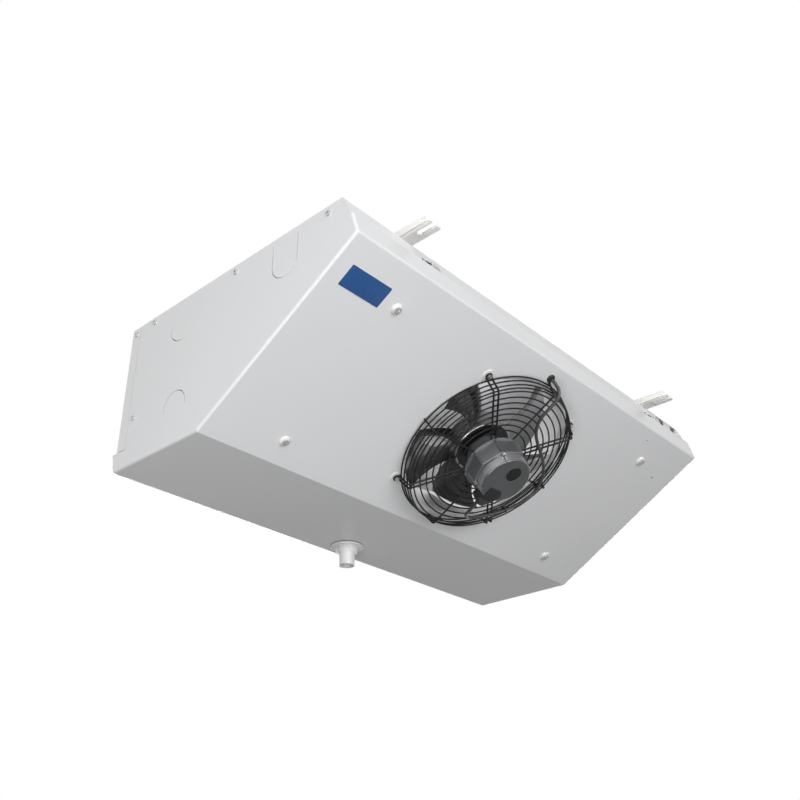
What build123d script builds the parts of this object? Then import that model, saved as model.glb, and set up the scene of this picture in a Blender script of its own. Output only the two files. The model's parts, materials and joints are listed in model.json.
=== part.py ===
from build123d import *
import math
import os

os.makedirs("parts", exist_ok=True)

# A ceiling unit cooler. X runs along its length, -Y is its front, +Y its wall side, +Z up.
# The origin is the middle of the four hanging points, in the plane of the ceiling.
# All sizes are in millimetres.

# Casing and hood outline. Y sizes count from the casing's front edge, Z sizes down from its top.
length = 840.0
casing_depth = 441.0
casing_height = 232.0
nose_out = 28.0
nose_drop = 66.0
slope_run = 285.0
tray_overhang = 6.0
lip_height = 28.5
lip_flare = 7.5
rear_strip = 19.5
band_top_drop = 33.0
band_top_out = 18.5
end_step = 4.5
fold_radius = 4.0
hood_sheet = 1.5
casing_sheet = 1.2
end_rim = 5.5
rest_gap = 0.5

# Top panel, its rail in front and the notches in the rail
rail_drop = 22.0
side_flange_drop = 24.0
rear_flange_drop = 15.0
rail_notch_height = 10.0
rail_notch_top = 2.0
rail_notches = ((74.0, 27.0), (25.0, 18.0))

# Hook lugs of the hood, which hang in slots of the rail
lug_insets = (157.0, 105.0)
lug_width = 14.0
lug_drop = 13.0
lug_reach = 5.0
lug_hook = 6.0
lug_side_gap = 1.5
lug_seat_gap = 1.2
lug_slot_height = 6.5

# Ceiling brackets: channels of bare sheet that lie on the top panel
bracket_inset = 116.0
bracket_width = 26.0
bracket_height = 10.0
bracket_sheet = 2.0
bracket_reach = 50.0
hanging_reach = 26.0
hanging_hole_radius = 4.5
bracket_corner = 3.0
flange_end_radius = 7.0
bracket_screw_inset = 60.0
bracket_screw_radius = 2.5
bracket_screw_head = 4.5
bracket_screw_height = 2.6
screw_tip = 4.0
screw_hole_gap = 0.2

# Rear posts and coil end plates, X sizes counted from the casing's own ends
left_bay = 100.0
right_bay = 64.0
post_tab = 20.0
post_overlap = 5.0
post_gap = 1.1
rear_gap = 0.8
end_plate_sheet = 1.5
end_plate_flange = 20.0
end_plate_reach = 6.0

# Coil
coil_rear_gap = 52.0
coil_rows = 2
coil_layers = 4
tube_pitch = 50.0
tube_radius = 6.0
fin_top = 3.0
fin_pitch = 16.0
fin_thickness = 3.0
fin_depth = 12.0
tube_stub = 6.0
tube_sides = 8
plate_hole_gap = 0.4

# Pipework in the left bay
header_radius = 9.0
header_x = 62.0
suction_collar = 8.7
suction_radius = 7.5
suction_bore = 6.5
suction_length = 24.0
suction_drop = 168.0
liquid_radius = 5.0
liquid_bore = 4.0
liquid_length = 25.0
liquid_drop = 46.0
distributor_radius = 9.0
distributor_length = 20.0
capillary_radius = 1.8

# Terminal box under the top panel in the right bay
terminal_box_size = (56.0, 84.0, 46.0)
terminal_box_front = 62.0
terminal_box_wall = 2.5
terminal_lid = 3.0
terminal_corner = 4.0
terminal_lid_edge = 1.5
terminal_post_inset = 12.0
terminal_post_size = (4.0, 10.0)
gland_radius = 8.0
gland_length = 14.0

# Fan plane on the sloped panel
fan_x = 5.0
fan_down = 169.0
opening_radius = 132.0
hole_gap = 0.3

# Wire guard
ring_wire = 2.2
strut_wire = 3.0
guard_height = 27.0
first_ring = 56.0
ring_pitch = 10.0
side_run = 6.2
bend_ring_inset = 2.8
foot_reach = 3.5
foot_gap = 7.6
foot_count = 4
foot_turn = 45
foot_washer_radius = 8.5
foot_washer_height = 1.5
guard_base = 141.0
side_ring_heights = (4.0, 11.5, 19.0)
strut_inner = 36.0
strut_bend_radius = 4.0
foot_bend_radius = 2.5
motor_ring_sheet = 2.0
wire_sides = 6
foot_screw_radius = 2.0
foot_screw_head = 3.4
foot_screw_height = 2.2

# Fan nozzle behind the panel
nozzle_throat = 128.5
nozzle_margin = 13.5
nozzle_wall = 1.5
nozzle_length = 52.0

# Motor, which stands on the struts outside the guard
motor_radius = 46.0
motor_top = 57.0
motor_taper = 2.0
rib_radius = 1.6
rib_end = 2.0
cap_radius = 40.0
cap_top = 73.0
cap_screw_circle = 42.5
cap_screw_radius = 2.6
button_radius = 10.5
button_place = (1.0, 14.5)
button_depth = 2.0
boss_radius = 30.0
boss_bottom = 2.0
motor_wall = 2.5
bearing_radius = 11.0
bearing_width = 7.0
stator_inner = 14.0
rotor_gap = 0.6
shaft_radius = 4.0
running_gap = 0.03
core_end_gap = 1.0
motor_sides = 8
motor_turn = 22.5
cap_taper = 3
cap_edge_radius = 2.5
cap_well_radius = 4.2
cap_screw_height = 2.5
cap_thread_radius = 1.3
cap_thread_length = 7.5
plug_slot = 2.0

# Impeller
hub_radius = 45.0
hub_top = -6.0
hub_bottom = -38.0
hub_wall = 2.5
hub_boss_radius = 10.0
tip_radius = 124.5
blade_count = 5
blade_thickness = 2.0
blade_middle = -24.0
fit_gap = 0.02
blade_stations = (
    (40.0, 40.0, 40.0, 3.0, -4.0),
    (84.0, 58.0, 30.0, 4.0, 0.0),
    (130.0, 80.0, 21.0, 4.5, 10.0),
)

# Motor lead: its grommet, its outlet on the motor and its route over the guard
lead_radius = 2.5
lead_sides = 8
grommet_place = (-1.0, 147.0)
grommet_radius = 6.5
grommet_lip = 2.0
grommet_rim = 1.5
grommet_height = 3.0
outlet_angle = -77.0
outlet_width = 22.0
outlet_outer = 56.0
outlet_level = 47.0
outlet_height = 13.0
outlet_nose = 6.0
lead_route = [
    (-1.0, 147.0, 3.0), (0.5, 147.0, 12.0), (6.5, 144.0, 21.0), (9.0, 134.5, 29.0), (7.0, 119.0, 31.4),
    (6.5, 101.0, 31.2), (14.0, 81.0, 31.4), (31.0, 66.0, 31.2), (54.0, 54.0, 31.4), (78.0, 42.0, 31.2),
    (99.0, 26.0, 31.4), (113.0, 7.0, 31.2), (118.0, -14.0, 31.4), (113.0, -37.0, 31.2), (99.0, -60.0, 31.4),
    (78.0, -80.0, 31.2), (57.0, -94.0, 31.6), (41.0, -99.0, 33.0), (28.0, -94.5, 37.0), (21.0, -83.0, 43.0),
    (16.2, -70.15, 47.0),
]
tie_places = (0.549, 0.702)
tie_width = 3.0
tie_wall = 1.0
tie_sink = 3.4

# Panel screws, stiffeners behind the panel, and their washers
panel_screw_insets = (121.0, 111.0)
panel_screw_down = (56.0, 291.0)
washer_radius = 8.5
washer_height = 3.0
panel_screw_radius = 2.4
panel_screw_head = 4.6
panel_screw_height = 2.4
washer_taper = 35
stiffener_width = 30.0
stiffener_depth = 12.0
stiffener_sheet = 1.2
stiffener_ends = (34.0, 312.0)

# Knock-outs in the end faces: slits of one width that leave a blank in place
slit_width = 1.0
knockout_radius = 23.5
large_knockout = (102.0, 44.0, 10.0)
upper_knockout = (125.0, 45.0)
lower_knockout = (128.0, 175.0)

# Small holes in the sloped panel, as distance from the right end and down from the nose
vent_radius = 1.5
vent_slot = 5.0
vent_places = ((383.0, 20.0), (138.0, 21.0))
vent_slot_place = (52.0, 70.0)

# Screws in the end faces, as distance from the front edge or the rear one and drop from the top
front_screw_places = ((23.5, 12.0), (201.5, 11.0))
rear_screw_places = ((36.5, 9.0), (11.5, 158.0))
post_screw_place = (10.0, 10.0)
side_screw_head = 4.0
side_screw_height = 2.2
side_screw_shank = 1.6

# Drain
drain_x = 4.0
drain_inset = 34.0
drain_flange_radius = 27.0
drain_flange = 3.0
drain_collar_radius = 16.5
drain_collar = 9.0
drain_edge_radius = 1.0
drain_tube_radius = 13.0
drain_bore_radius = 10.5
drain_length = 34.0
drain_neck_radius = 14.5
drain_neck = 12.0
drain_seal = 1.0
drain_nut_width = 40.0
drain_nut_height = 6.0

# Places worked out from the sizes above
hood_depth = casing_depth - rear_strip
top_z = -bracket_height
front_y = -casing_depth / 2
left_end = -length / 2
right_end = length / 2
bracket_places = (left_end + bracket_inset, right_end - bracket_inset)
lug_places = (left_end + lug_insets[0], right_end - lug_insets[1])
panel_screw_x = (left_end + panel_screw_insets[0], right_end - panel_screw_insets[1])
side_screw_places = front_screw_places + tuple((hood_depth - back, drop) for back, drop in rear_screw_places)
drain_back = casing_depth - drain_inset
foot_circle = guard_base + foot_reach
strut_bend = guard_base - side_run
slope_drop = casing_height - nose_drop
slope_angle = math.atan2(slope_drop, slope_run)
slope_length = math.hypot(slope_drop, slope_run)
cap_y = math.cos(slope_angle)
cap_z = math.sin(slope_angle)
band_top = (-band_top_out, -band_top_drop)
nose = (-nose_out, -nose_drop)
tray_front = (slope_run - nose_out, -casing_height)
tray_back = (casing_depth + tray_overhang, -casing_height)
lip_top = (tray_back[0] + lip_flare, lip_height - casing_height)
coil_depth = coil_rows * tube_pitch
coil_front = casing_depth - coil_rear_gap - coil_depth
end_plate_front = coil_front - end_plate_reach
coil_height = coil_layers * tube_pitch
coil_left = left_end + left_bay + end_plate_sheet
coil_right = right_end - right_bay - end_plate_sheet
tube_rows = [coil_front + (row + 0.5) * tube_pitch for row in range(coil_rows)]
tube_drops = [fin_top + (layer + 0.5) * tube_pitch for layer in range(coil_layers)]


def side_plane(x):
    """Profile plane at x: its own X is the distance back from the front edge, its Y the height."""
    return Plane(origin=(x, front_y, top_z), x_dir=(0, 1, 0), z_dir=(1, 0, 0))


def level_plane(drop):
    """Plan plane that lies so far below the casing's top."""
    return Plane(origin=(0, front_y, top_z - drop), x_dir=(1, 0, 0), z_dir=(0, 0, 1))


fan_plane = Plane(
    origin=(fan_x, front_y - nose_out + fan_down * cap_y, top_z - nose_drop - fan_down * cap_z),
    x_dir=(1, 0, 0),
    z_dir=(0, -cap_z, -cap_y),
)
fan_section = Plane(origin=fan_plane.origin, x_dir=(1, 0, 0), z_dir=(0, cap_y, -cap_z))
fan_axis = Axis(fan_plane.origin, fan_plane.z_dir)


def on_fan(x, y, height=0.0):
    """Plane square to the fan's axis, at a point given in the fan plane."""
    return Plane(origin=fan_plane.from_local_coords((x, y, height)), x_dir=(1, 0, 0), z_dir=fan_plane.z_dir)


def slope_point(x, down):
    """Fan plane coordinates of a place given by its X and its distance down the slope from the nose."""
    return (x - fan_x, fan_down - down)


def save(part, name):
    part.label = name
    export_step(part, f"parts/{name}.step")


def screw(plane, head_radius, head_height, shank_radius, shank_length, recess=True):
    """A round-headed screw that points into its plane, with a cross recess in its head."""
    with BuildPart() as body:
        with BuildSketch(plane):
            Circle(head_radius)
        extrude(amount=head_height)
        with BuildSketch(plane):
            Circle(shank_radius)
        extrude(amount=-shank_length)
        if recess:
            with BuildSketch(plane.offset(head_height)):
                Rectangle(head_radius * 1.2, head_radius * 0.3)
                Rectangle(head_radius * 0.3, head_radius * 1.2)
            extrude(amount=-head_height * 0.5, mode=Mode.SUBTRACT)
    return body.part


def bar_along(points, radii, radius, sides):
    """A wire or tube of polygon section along straight runs joined by tangent arcs."""
    with BuildPart() as body:
        with BuildLine() as path:
            FilletPolyline(*points, radius=radii)
        with BuildSketch(Plane(origin=path.line @ 0, z_dir=path.line % 0)):
            RegularPolygon(radius, sides)
        sweep(path=path.line)
    return body.part


def arc_radii(points):
    """For each corner, 0.45 of its shorter run over the tangent of half the turn."""
    radii = []
    for before, corner, after in zip(points, points[1:], points[2:]):
        run_in = Vector(*corner) - Vector(*before)
        run_out = Vector(*after) - Vector(*corner)
        half_turn = math.radians(run_in.get_angle(run_out)) / 2
        radii.append(0.45 * min(run_in.length, run_out.length) / math.tan(half_turn))
    return radii


# Hood: the hollow inside it, then its whole shape
with BuildPart() as hood_cavity:
    band_slope = Vector(*band_top) - Vector(*nose)
    lip_slope = Vector(*lip_top) - Vector(*tray_back)
    above_band = Vector(*band_top) + band_slope
    above_lip = Vector(*lip_top) + lip_slope
    with BuildSketch(side_plane(left_end)):
        with BuildLine():
            Polyline(
                above_band,
                nose,
                tray_front,
                tray_back,
                above_lip,
                (above_lip.X + casing_height, above_lip.Y),
                (above_lip.X + casing_height, casing_height),
                (above_band.X, casing_height),
                close=True,
            )
        make_face()
        offset(amount=-hood_sheet, kind=Kind.INTERSECTION)
    extrude(amount=length)
    cavity_ends = [left_end + hood_sheet, right_end - hood_sheet]
    split(bisect_by=Plane.YZ.offset(cavity_ends[0]), keep=Keep.TOP)
    split(bisect_by=Plane.YZ.offset(cavity_ends[1]), keep=Keep.BOTTOM)

with BuildPart() as hood_shell:
    with BuildSketch(side_plane(left_end)):
        with BuildLine():
            Polyline(
                band_top,
                nose,
                tray_front,
                tray_back,
                lip_top,
                (hood_depth, lip_top[1]),
                (hood_depth, -band_top_drop),
                close=True,
            )
        make_face()
    extrude(amount=length)
    outline = [band_top, nose, tray_front, tray_back, lip_top]
    fold_places = [(y, z) for y, z in outline[1:4]]
    fold_places += [((a[0] + b[0]) / 2, (a[1] + b[1]) / 2) for a, b in zip(outline, outline[1:])]
    folds = [
        edge
        for edge in hood_shell.edges()
        if any(
            math.hypot(edge.center().Y - front_y - y, edge.center().Z - top_z - z) < 0.01
            for y, z in fold_places
        )
    ]
    fillet(folds, fold_radius)
    add(hood_cavity.part, mode=Mode.SUBTRACT)
    for x, thickness in ((left_end, hood_sheet), (right_end, -hood_sheet)):
        with BuildSketch(side_plane(x)):
            with BuildLine():
                Polyline(
                    (0, 0),
                    (end_step - band_top_out, -band_top_drop),
                    (hood_depth, -band_top_drop),
                    (hood_depth, 0),
                    close=True,
                )
            make_face()
        extrude(amount=thickness)
    for place in lug_places:
        with BuildSketch(side_plane(place - lug_width / 2)):
            with BuildLine() as lug_line:
                Polyline(
                    (band_top[0] + hood_sheet / 2, band_top[1] - 1),
                    (band_top[0] + hood_sheet * 2, band_top[1] + 9),
                    (-4, -lug_drop),
                    (lug_reach, -lug_drop),
                    (lug_reach, lug_hook - lug_drop),
                )
            trace(lug_line.line, line_width=hood_sheet)
        extrude(amount=lug_width)
    with BuildSketch(fan_plane):
        Circle(opening_radius)
        with Locations(grommet_place):
            Circle(grommet_radius - grommet_lip + fit_gap)
        with PolarLocations(foot_circle, foot_count, start_angle=foot_turn):
            Circle(foot_screw_radius + hole_gap)
        with Locations(*[slope_point(x, down) for x in panel_screw_x for down in panel_screw_down]):
            Circle(panel_screw_radius + hole_gap)
        with Locations(*[slope_point(right_end - inset, down) for inset, down in vent_places]):
            Circle(vent_radius)
        with Locations(slope_point(right_end - vent_slot_place[0], vent_slot_place[1])):
            SlotOverall(vent_slot, 2 * vent_radius)
    extrude(amount=2 * hood_sheet, both=True, mode=Mode.SUBTRACT)
    with BuildSketch(level_plane(casing_height)):
        with Locations((drain_x, drain_back)):
            Circle(drain_neck_radius + hole_gap)
    extrude(amount=2 * hood_sheet, both=True, mode=Mode.SUBTRACT)
    for x in (left_end, right_end):
        with BuildSketch(side_plane(x)):
            with BuildLine() as large_slit:
                back, drop, leg_top = large_knockout
                Line((back - knockout_radius, -leg_top), (back - knockout_radius, -drop))
                ThreePointArc(
                    (back - knockout_radius, -drop),
                    (back, -drop - knockout_radius),
                    (back + knockout_radius, -drop),
                )
                Line((back + knockout_radius, -drop), (back + knockout_radius, -leg_top))
            trace(large_slit.line, line_width=slit_width)
            with BuildLine() as upper_slit:
                CenterArc((casing_depth - upper_knockout[0], -upper_knockout[1]), knockout_radius, 170, 200)
            trace(upper_slit.line, line_width=slit_width)
            with BuildLine() as lower_slit:
                CenterArc((casing_depth - lower_knockout[0], -lower_knockout[1]), knockout_radius, -10, 200)
            trace(lower_slit.line, line_width=slit_width)
            with Locations(*[(back, -drop) for back, drop in side_screw_places]):
                Circle(side_screw_shank + screw_hole_gap)
        extrude(amount=2 * hood_sheet, both=True, mode=Mode.SUBTRACT)

# The hood is welded from three sheets: a wrap from the band to the rear lip, and two end faces whose
# rounded rims butt against the wrap's edges
rim_planes = [Plane.YZ.offset(left_end + end_rim), Plane.YZ.offset(right_end - end_rim)]
left_end_face = split(hood_shell.part, bisect_by=rim_planes[0], keep=Keep.BOTTOM)
right_end_face = split(hood_shell.part, bisect_by=rim_planes[1], keep=Keep.TOP)
hood_wrap = split(hood_shell.part, bisect_by=rim_planes[0], keep=Keep.TOP)
hood_wrap = split(hood_wrap, bisect_by=rim_planes[1], keep=Keep.BOTTOM)
save(left_end_face, "left_end_face")
save(right_end_face, "right_end_face")
save(hood_wrap, "hood_wrap")

# Top panel: front rail with lug slots and notches, side flanges and a rear flange
panel_inset = hood_sheet + rest_gap
panel_left = left_end + panel_inset
panel_right = right_end - panel_inset
panel_span = panel_right - panel_left
rear_leg_left = left_end + left_bay + post_overlap
rear_leg_right = right_end - right_bay - post_overlap
with BuildPart() as top_panel:
    with BuildSketch(level_plane(0)):
        with Locations(((panel_left + panel_right) / 2, casing_depth / 2)):
            Rectangle(panel_span, casing_depth)
    extrude(amount=-casing_sheet)
    with BuildSketch(level_plane(0)):
        with Locations(((panel_left + panel_right) / 2, casing_sheet / 2)):
            Rectangle(panel_span, casing_sheet)
    extrude(amount=-rail_drop)
    for x in (panel_left + casing_sheet / 2, panel_right - casing_sheet / 2):
        with BuildSketch(level_plane(0)):
            with Locations((x, casing_depth / 2)):
                Rectangle(casing_sheet, casing_depth - 2 * casing_sheet - rest_gap)
        extrude(amount=-side_flange_drop)
    with BuildSketch(level_plane(0)):
        with Locations(((rear_leg_left + rear_leg_right) / 2, casing_depth - casing_sheet / 2)):
            Rectangle(rear_leg_right - rear_leg_left - 2 * rest_gap, casing_sheet)
    extrude(amount=-rear_flange_drop)
    rail_face = Plane(origin=(0, front_y, top_z), x_dir=(1, 0, 0), z_dir=(0, -1, 0))
    with BuildSketch(rail_face):
        for place in lug_places:
            slot_bottom = -lug_drop - hood_sheet / 2 - lug_seat_gap
            with Locations((place, slot_bottom + lug_slot_height / 2)):
                Rectangle(lug_width + 2 * lug_side_gap, lug_slot_height)
        for inset, notch_width in rail_notches:
            with Locations((right_end - inset + notch_width / 2, -rail_notch_top - rail_notch_height / 2)):
                Rectangle(notch_width, rail_notch_height)
    extrude(amount=-casing_sheet, mode=Mode.SUBTRACT)
    with BuildSketch(level_plane(0)):
        with Locations(*[
            (place, y)
            for place in bracket_places
            for y in (bracket_screw_inset, casing_depth - bracket_screw_inset)
        ]):
            Circle(bracket_screw_radius + screw_hole_gap)
    extrude(amount=-casing_sheet, mode=Mode.SUBTRACT)
save(top_panel.part, "top_panel")

# Ceiling brackets: channels with an open slot in front and a round hole at the wall side
bracket_length = casing_depth + 2 * bracket_reach
for name, place in zip(("left_ceiling_bracket", "right_ceiling_bracket"), bracket_places):
    with BuildPart() as bracket:
        with BuildSketch(Plane(origin=(place, 0, top_z), x_dir=(1, 0, 0), z_dir=(0, 0, 1))):
            RectangleRounded(bracket_width, bracket_length, bracket_corner)
            hole_y = casing_depth / 2 + hanging_reach
            with Locations((0, hole_y)):
                Circle(hanging_hole_radius, mode=Mode.SUBTRACT)
            with Locations((0, -hole_y)):
                Circle(hanging_hole_radius, mode=Mode.SUBTRACT)
            with Locations((0, -hole_y - bracket_reach / 2)):
                Rectangle(2 * hanging_hole_radius, bracket_reach, mode=Mode.SUBTRACT)
            screw_y = casing_depth / 2 - bracket_screw_inset
            with Locations((0, screw_y), (0, -screw_y)):
                Circle(bracket_screw_radius + screw_hole_gap, mode=Mode.SUBTRACT)
        extrude(amount=bracket_sheet)
        for side in (-1, 1):
            flange_x = place + side * (bracket_width - bracket_sheet) / 2
            with BuildSketch(Plane(origin=(flange_x, 0, top_z), x_dir=(0, 1, 0), z_dir=(1, 0, 0))):
                with Locations((0, bracket_height / 2)):
                    flange = Rectangle(bracket_length - 2 * bracket_corner, bracket_height)
                fillet(flange.vertices().group_by(Axis.Y)[-1], flange_end_radius)
            extrude(amount=bracket_sheet / 2, both=True)
    save(bracket.part, name)

with BuildPart() as bracket_screws:
    for place in bracket_places:
        for y in (bracket_screw_inset, casing_depth - bracket_screw_inset):
            head = Plane(origin=(place, front_y + y, top_z + bracket_sheet), x_dir=(1, 0, 0), z_dir=(0, 0, 1))
            shank = bracket_sheet + casing_sheet + screw_tip
            add(screw(head, bracket_screw_head, bracket_screw_height, bracket_screw_radius, shank))
save(bracket_screws.part, "bracket_screws")

# Rear posts: an outer strip that follows the hood's rear edge, a joggled tab behind the hood
# and a wide leg that closes the bay at the wall side
post_bottom = lip_top[1] + post_gap
post_front = hood_depth + rear_gap
for name, end, inward, bay in (
    ("left_rear_post", left_end, 1, left_bay),
    ("right_rear_post", right_end, -1, right_bay),
):
    with BuildPart() as post:
        with BuildSketch(level_plane(-post_bottom)):
            with BuildLine():
                tab_x = end + inward * (panel_inset + casing_sheet)
                Polyline(
                    (end, post_front),
                    (end, casing_depth),
                    (end + inward * (bay + post_overlap), casing_depth),
                    (end + inward * (bay + post_overlap), casing_depth - casing_sheet),
                    (end + inward * casing_sheet, casing_depth - casing_sheet),
                    (end + inward * casing_sheet, post_front + 2 * casing_sheet),
                    (tab_x, post_front + casing_sheet),
                    (tab_x, post_front - post_tab),
                    (tab_x - inward * casing_sheet, post_front - post_tab),
                    (tab_x - inward * casing_sheet, post_front),
                    close=True,
                )
            make_face()
        extrude(amount=-post_bottom)
        inner_x = end + inward * (casing_sheet + (bay + post_overlap) / 2)
        with BuildSketch(level_plane(0)):
            with Locations((inner_x, casing_depth / 2)):
                Rectangle(bay + post_overlap, casing_depth)
        extrude(amount=-casing_sheet, mode=Mode.SUBTRACT)
        with BuildSketch(level_plane(0)):
            with Locations((inner_x, casing_depth / 2 - casing_sheet)):
                Rectangle(bay + post_overlap, casing_depth)
        extrude(amount=-side_flange_drop - rest_gap, mode=Mode.SUBTRACT)
        with BuildSketch(side_plane(end)):
            with Locations((casing_depth - post_screw_place[0], -post_screw_place[1])):
                Circle(side_screw_shank + screw_hole_gap)
        extrude(amount=inward * casing_sheet, mode=Mode.SUBTRACT)
    save(post.part, name)

with BuildPart() as post_screws:
    for end, outward in ((left_end, -1), (right_end, 1)):
        plane = Plane(
            origin=(end, front_y + casing_depth - post_screw_place[0], top_z - post_screw_place[1]),
            x_dir=(0, 1, 0),
            z_dir=(outward, 0, 0),
        )
        add(screw(plane, side_screw_head, side_screw_height, side_screw_shank, panel_inset - rest_gap / 2))
save(post_screws.part, "post_screws")

# Coil end plates with flanges at the top and at the wall side
plate_bottom = fin_top + coil_height + 2
for name, plate_x, outward in (
    ("left_coil_end_plate", left_end + left_bay, -1),
    ("right_coil_end_plate", right_end - right_bay, 1),
):
    with BuildPart() as end_plate:
        plate_back = casing_depth - casing_sheet
        with BuildSketch(side_plane(plate_x)):
            with BuildLine():
                Polyline(
                    (end_plate_front, -casing_sheet),
                    (end_plate_front, -plate_bottom),
                    (plate_back, -plate_bottom),
                    (plate_back, -casing_sheet),
                    close=True,
                )
            make_face()
            with Locations(*[(y, -drop) for y in tube_rows for drop in tube_drops]):
                Circle(tube_radius + plate_hole_gap, mode=Mode.SUBTRACT)
        extrude(amount=-outward * end_plate_sheet)
        with BuildSketch(level_plane(casing_sheet)):
            with Locations((plate_x + outward * end_plate_flange / 2, (end_plate_front + plate_back) / 2)):
                Rectangle(end_plate_flange, plate_back - end_plate_front)
        extrude(amount=-end_plate_sheet)
        back_face = Plane(origin=(0, front_y + plate_back, top_z), x_dir=(1, 0, 0), z_dir=(0, -1, 0))
        with BuildSketch(back_face):
            with Locations((
                plate_x + outward * end_plate_flange / 2,
                -(plate_bottom + casing_sheet) / 2,
            )):
                Rectangle(end_plate_flange, plate_bottom - casing_sheet)
        extrude(amount=end_plate_sheet)
    save(end_plate.part, name)

# Fin pack: fins side by side, whose edges show at the front and at the wall side
fin_length = coil_right - coil_left
with BuildPart() as fin_pack:
    with BuildSketch(side_plane(coil_left)):
        with Locations((coil_front + coil_depth / 2, -fin_top - coil_height / 2)):
            Rectangle(coil_depth, coil_height)
        with Locations(*[(y, -drop) for y in tube_rows for drop in tube_drops]):
            Circle(tube_radius + fit_gap, mode=Mode.SUBTRACT)
    extrude(amount=fin_length)
    groove_count = int((fin_length - fin_thickness) // fin_pitch)
    with BuildSketch(level_plane(fin_top)):
        for face_y in (coil_front + fin_depth / 2, coil_front + coil_depth - fin_depth / 2):
            with Locations(((coil_left + coil_right) / 2, face_y)):
                with GridLocations(fin_pitch, 0, groove_count, 1):
                    Rectangle(fin_pitch - fin_thickness, fin_depth)
    extrude(amount=-coil_height, mode=Mode.SUBTRACT)
save(fin_pack.part, "fin_pack")

# Coil tubes: straight tubes through the fins, joined in pairs by bends at the right
tube_left = left_end + left_bay - tube_stub
tube_right = right_end - right_bay + tube_stub
with BuildPart() as coil_tubes:
    for y in tube_rows:
        for drop in tube_drops:
            start = Plane(
                origin=(tube_left, front_y + y, top_z - drop), x_dir=(0, 1, 0), z_dir=(1, 0, 0)
            )
            with BuildSketch(start):
                Circle(tube_radius)
            extrude(amount=tube_right - tube_left)
save(coil_tubes.part, "coil_tubes")


def return_bend(first, second, x, outward):
    """Half-round bend between two tube ends, given by distance back and drop."""
    middle = Vector(x, front_y + (first[0] + second[0]) / 2, top_z - (first[1] + second[1]) / 2)
    across = Vector(0, second[0] - first[0], first[1] - second[1])
    start = middle - across / 2
    with BuildPart() as bend:
        with BuildLine() as path:
            ThreePointArc(start, middle + Vector(outward * across.length / 2, 0, 0), middle + across / 2)
        with BuildSketch(Plane(origin=start, x_dir=across.normalized(), z_dir=(outward, 0, 0))):
            RegularPolygon(tube_radius, tube_sides)
        sweep(path=path.line)
    return bend.part


with BuildPart() as hairpin_bends:
    for drop in tube_drops:
        add(return_bend((tube_rows[0], drop), (tube_rows[-1], drop), tube_right, 1))
save(hairpin_bends.part, "hairpin_bends")

with BuildPart() as return_bends:
    for upper in range(0, coil_layers, 2):
        ends = [(tube_rows[-1], tube_drops[upper]), (tube_rows[-1], tube_drops[upper + 1])]
        add(return_bend(*ends, tube_left, -1))
save(return_bends.part, "return_bends")

# Suction header in the left bay: an upright tube, two inlets from the coil and the stub for the pipe
header_y = tube_rows[0]
outlet_drops = tube_drops[1:3]
header_left = left_end + header_x
with BuildPart() as suction_header:
    with BuildSketch(Plane(
        origin=(header_left, front_y + header_y, top_z - outlet_drops[0] + 2 * header_radius), z_dir=(0, 0, -1)
    )):
        Circle(header_radius)
    extrude(amount=suction_drop - outlet_drops[0] + 4 * header_radius)
    for drop in outlet_drops:
        with BuildSketch(side_plane(header_left)):
            with Locations((header_y, -drop)):
                Circle(tube_radius)
        extrude(amount=tube_left - header_left)
    with BuildSketch(side_plane(header_left)):
        with Locations((header_y, -suction_drop)):
            Circle(suction_collar)
    extrude(amount=-header_radius)
    with BuildSketch(side_plane(header_left - header_radius)):
        with Locations((header_y, -suction_drop)):
            Circle(suction_radius)
    extrude(amount=-suction_length)
    with BuildSketch(side_plane(header_left - header_radius)):
        with Locations((header_y, -suction_drop)):
            Circle(suction_bore)
    extrude(amount=-suction_length, mode=Mode.SUBTRACT)
save(suction_header.part, "suction_header")

# Liquid line: stub, distributor body and two thin feed tubes to the coil's inlets
distributor_left = left_end + liquid_length * 2
with BuildPart() as liquid_distributor:
    with BuildSketch(side_plane(distributor_left)):
        with Locations((header_y, -liquid_drop)):
            Circle(distributor_radius)
    extrude(amount=distributor_length)
    with BuildSketch(side_plane(distributor_left)):
        with Locations((header_y, -liquid_drop)):
            Circle(liquid_radius)
    extrude(amount=-liquid_length)
    with BuildSketch(side_plane(distributor_left)):
        with Locations((header_y, -liquid_drop)):
            Circle(liquid_bore)
    extrude(amount=-liquid_length, mode=Mode.SUBTRACT)
save(liquid_distributor.part, "liquid_distributor")

feed_x = distributor_left + distributor_length
with BuildPart() as feed_tubes:
    for drop, detour in ((tube_drops[0], 4.0), (tube_drops[-1], -24.0)):
        level = top_z - liquid_drop
        goal = top_z - drop
        side = front_y + header_y
        points = [
            (feed_x, side, level - math.copysign(4, drop - liquid_drop)),
            (feed_x + 12, side, level - math.copysign(4, drop - liquid_drop)),
            (feed_x + 14, side + detour, (2 * level + goal) / 3),
            (feed_x + 14, side + detour, (level + 2 * goal) / 3 + 4),
            (tube_left - 8, side, goal),
            (tube_left, side, goal),
        ]
        if drop == tube_drops[0]:
            points = [points[0], points[1], (feed_x + 13, side, goal), points[5]]
        add(bar_along(points, 2.5, capillary_radius, wire_sides))
save(feed_tubes.part, "feed_tubes")

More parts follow.
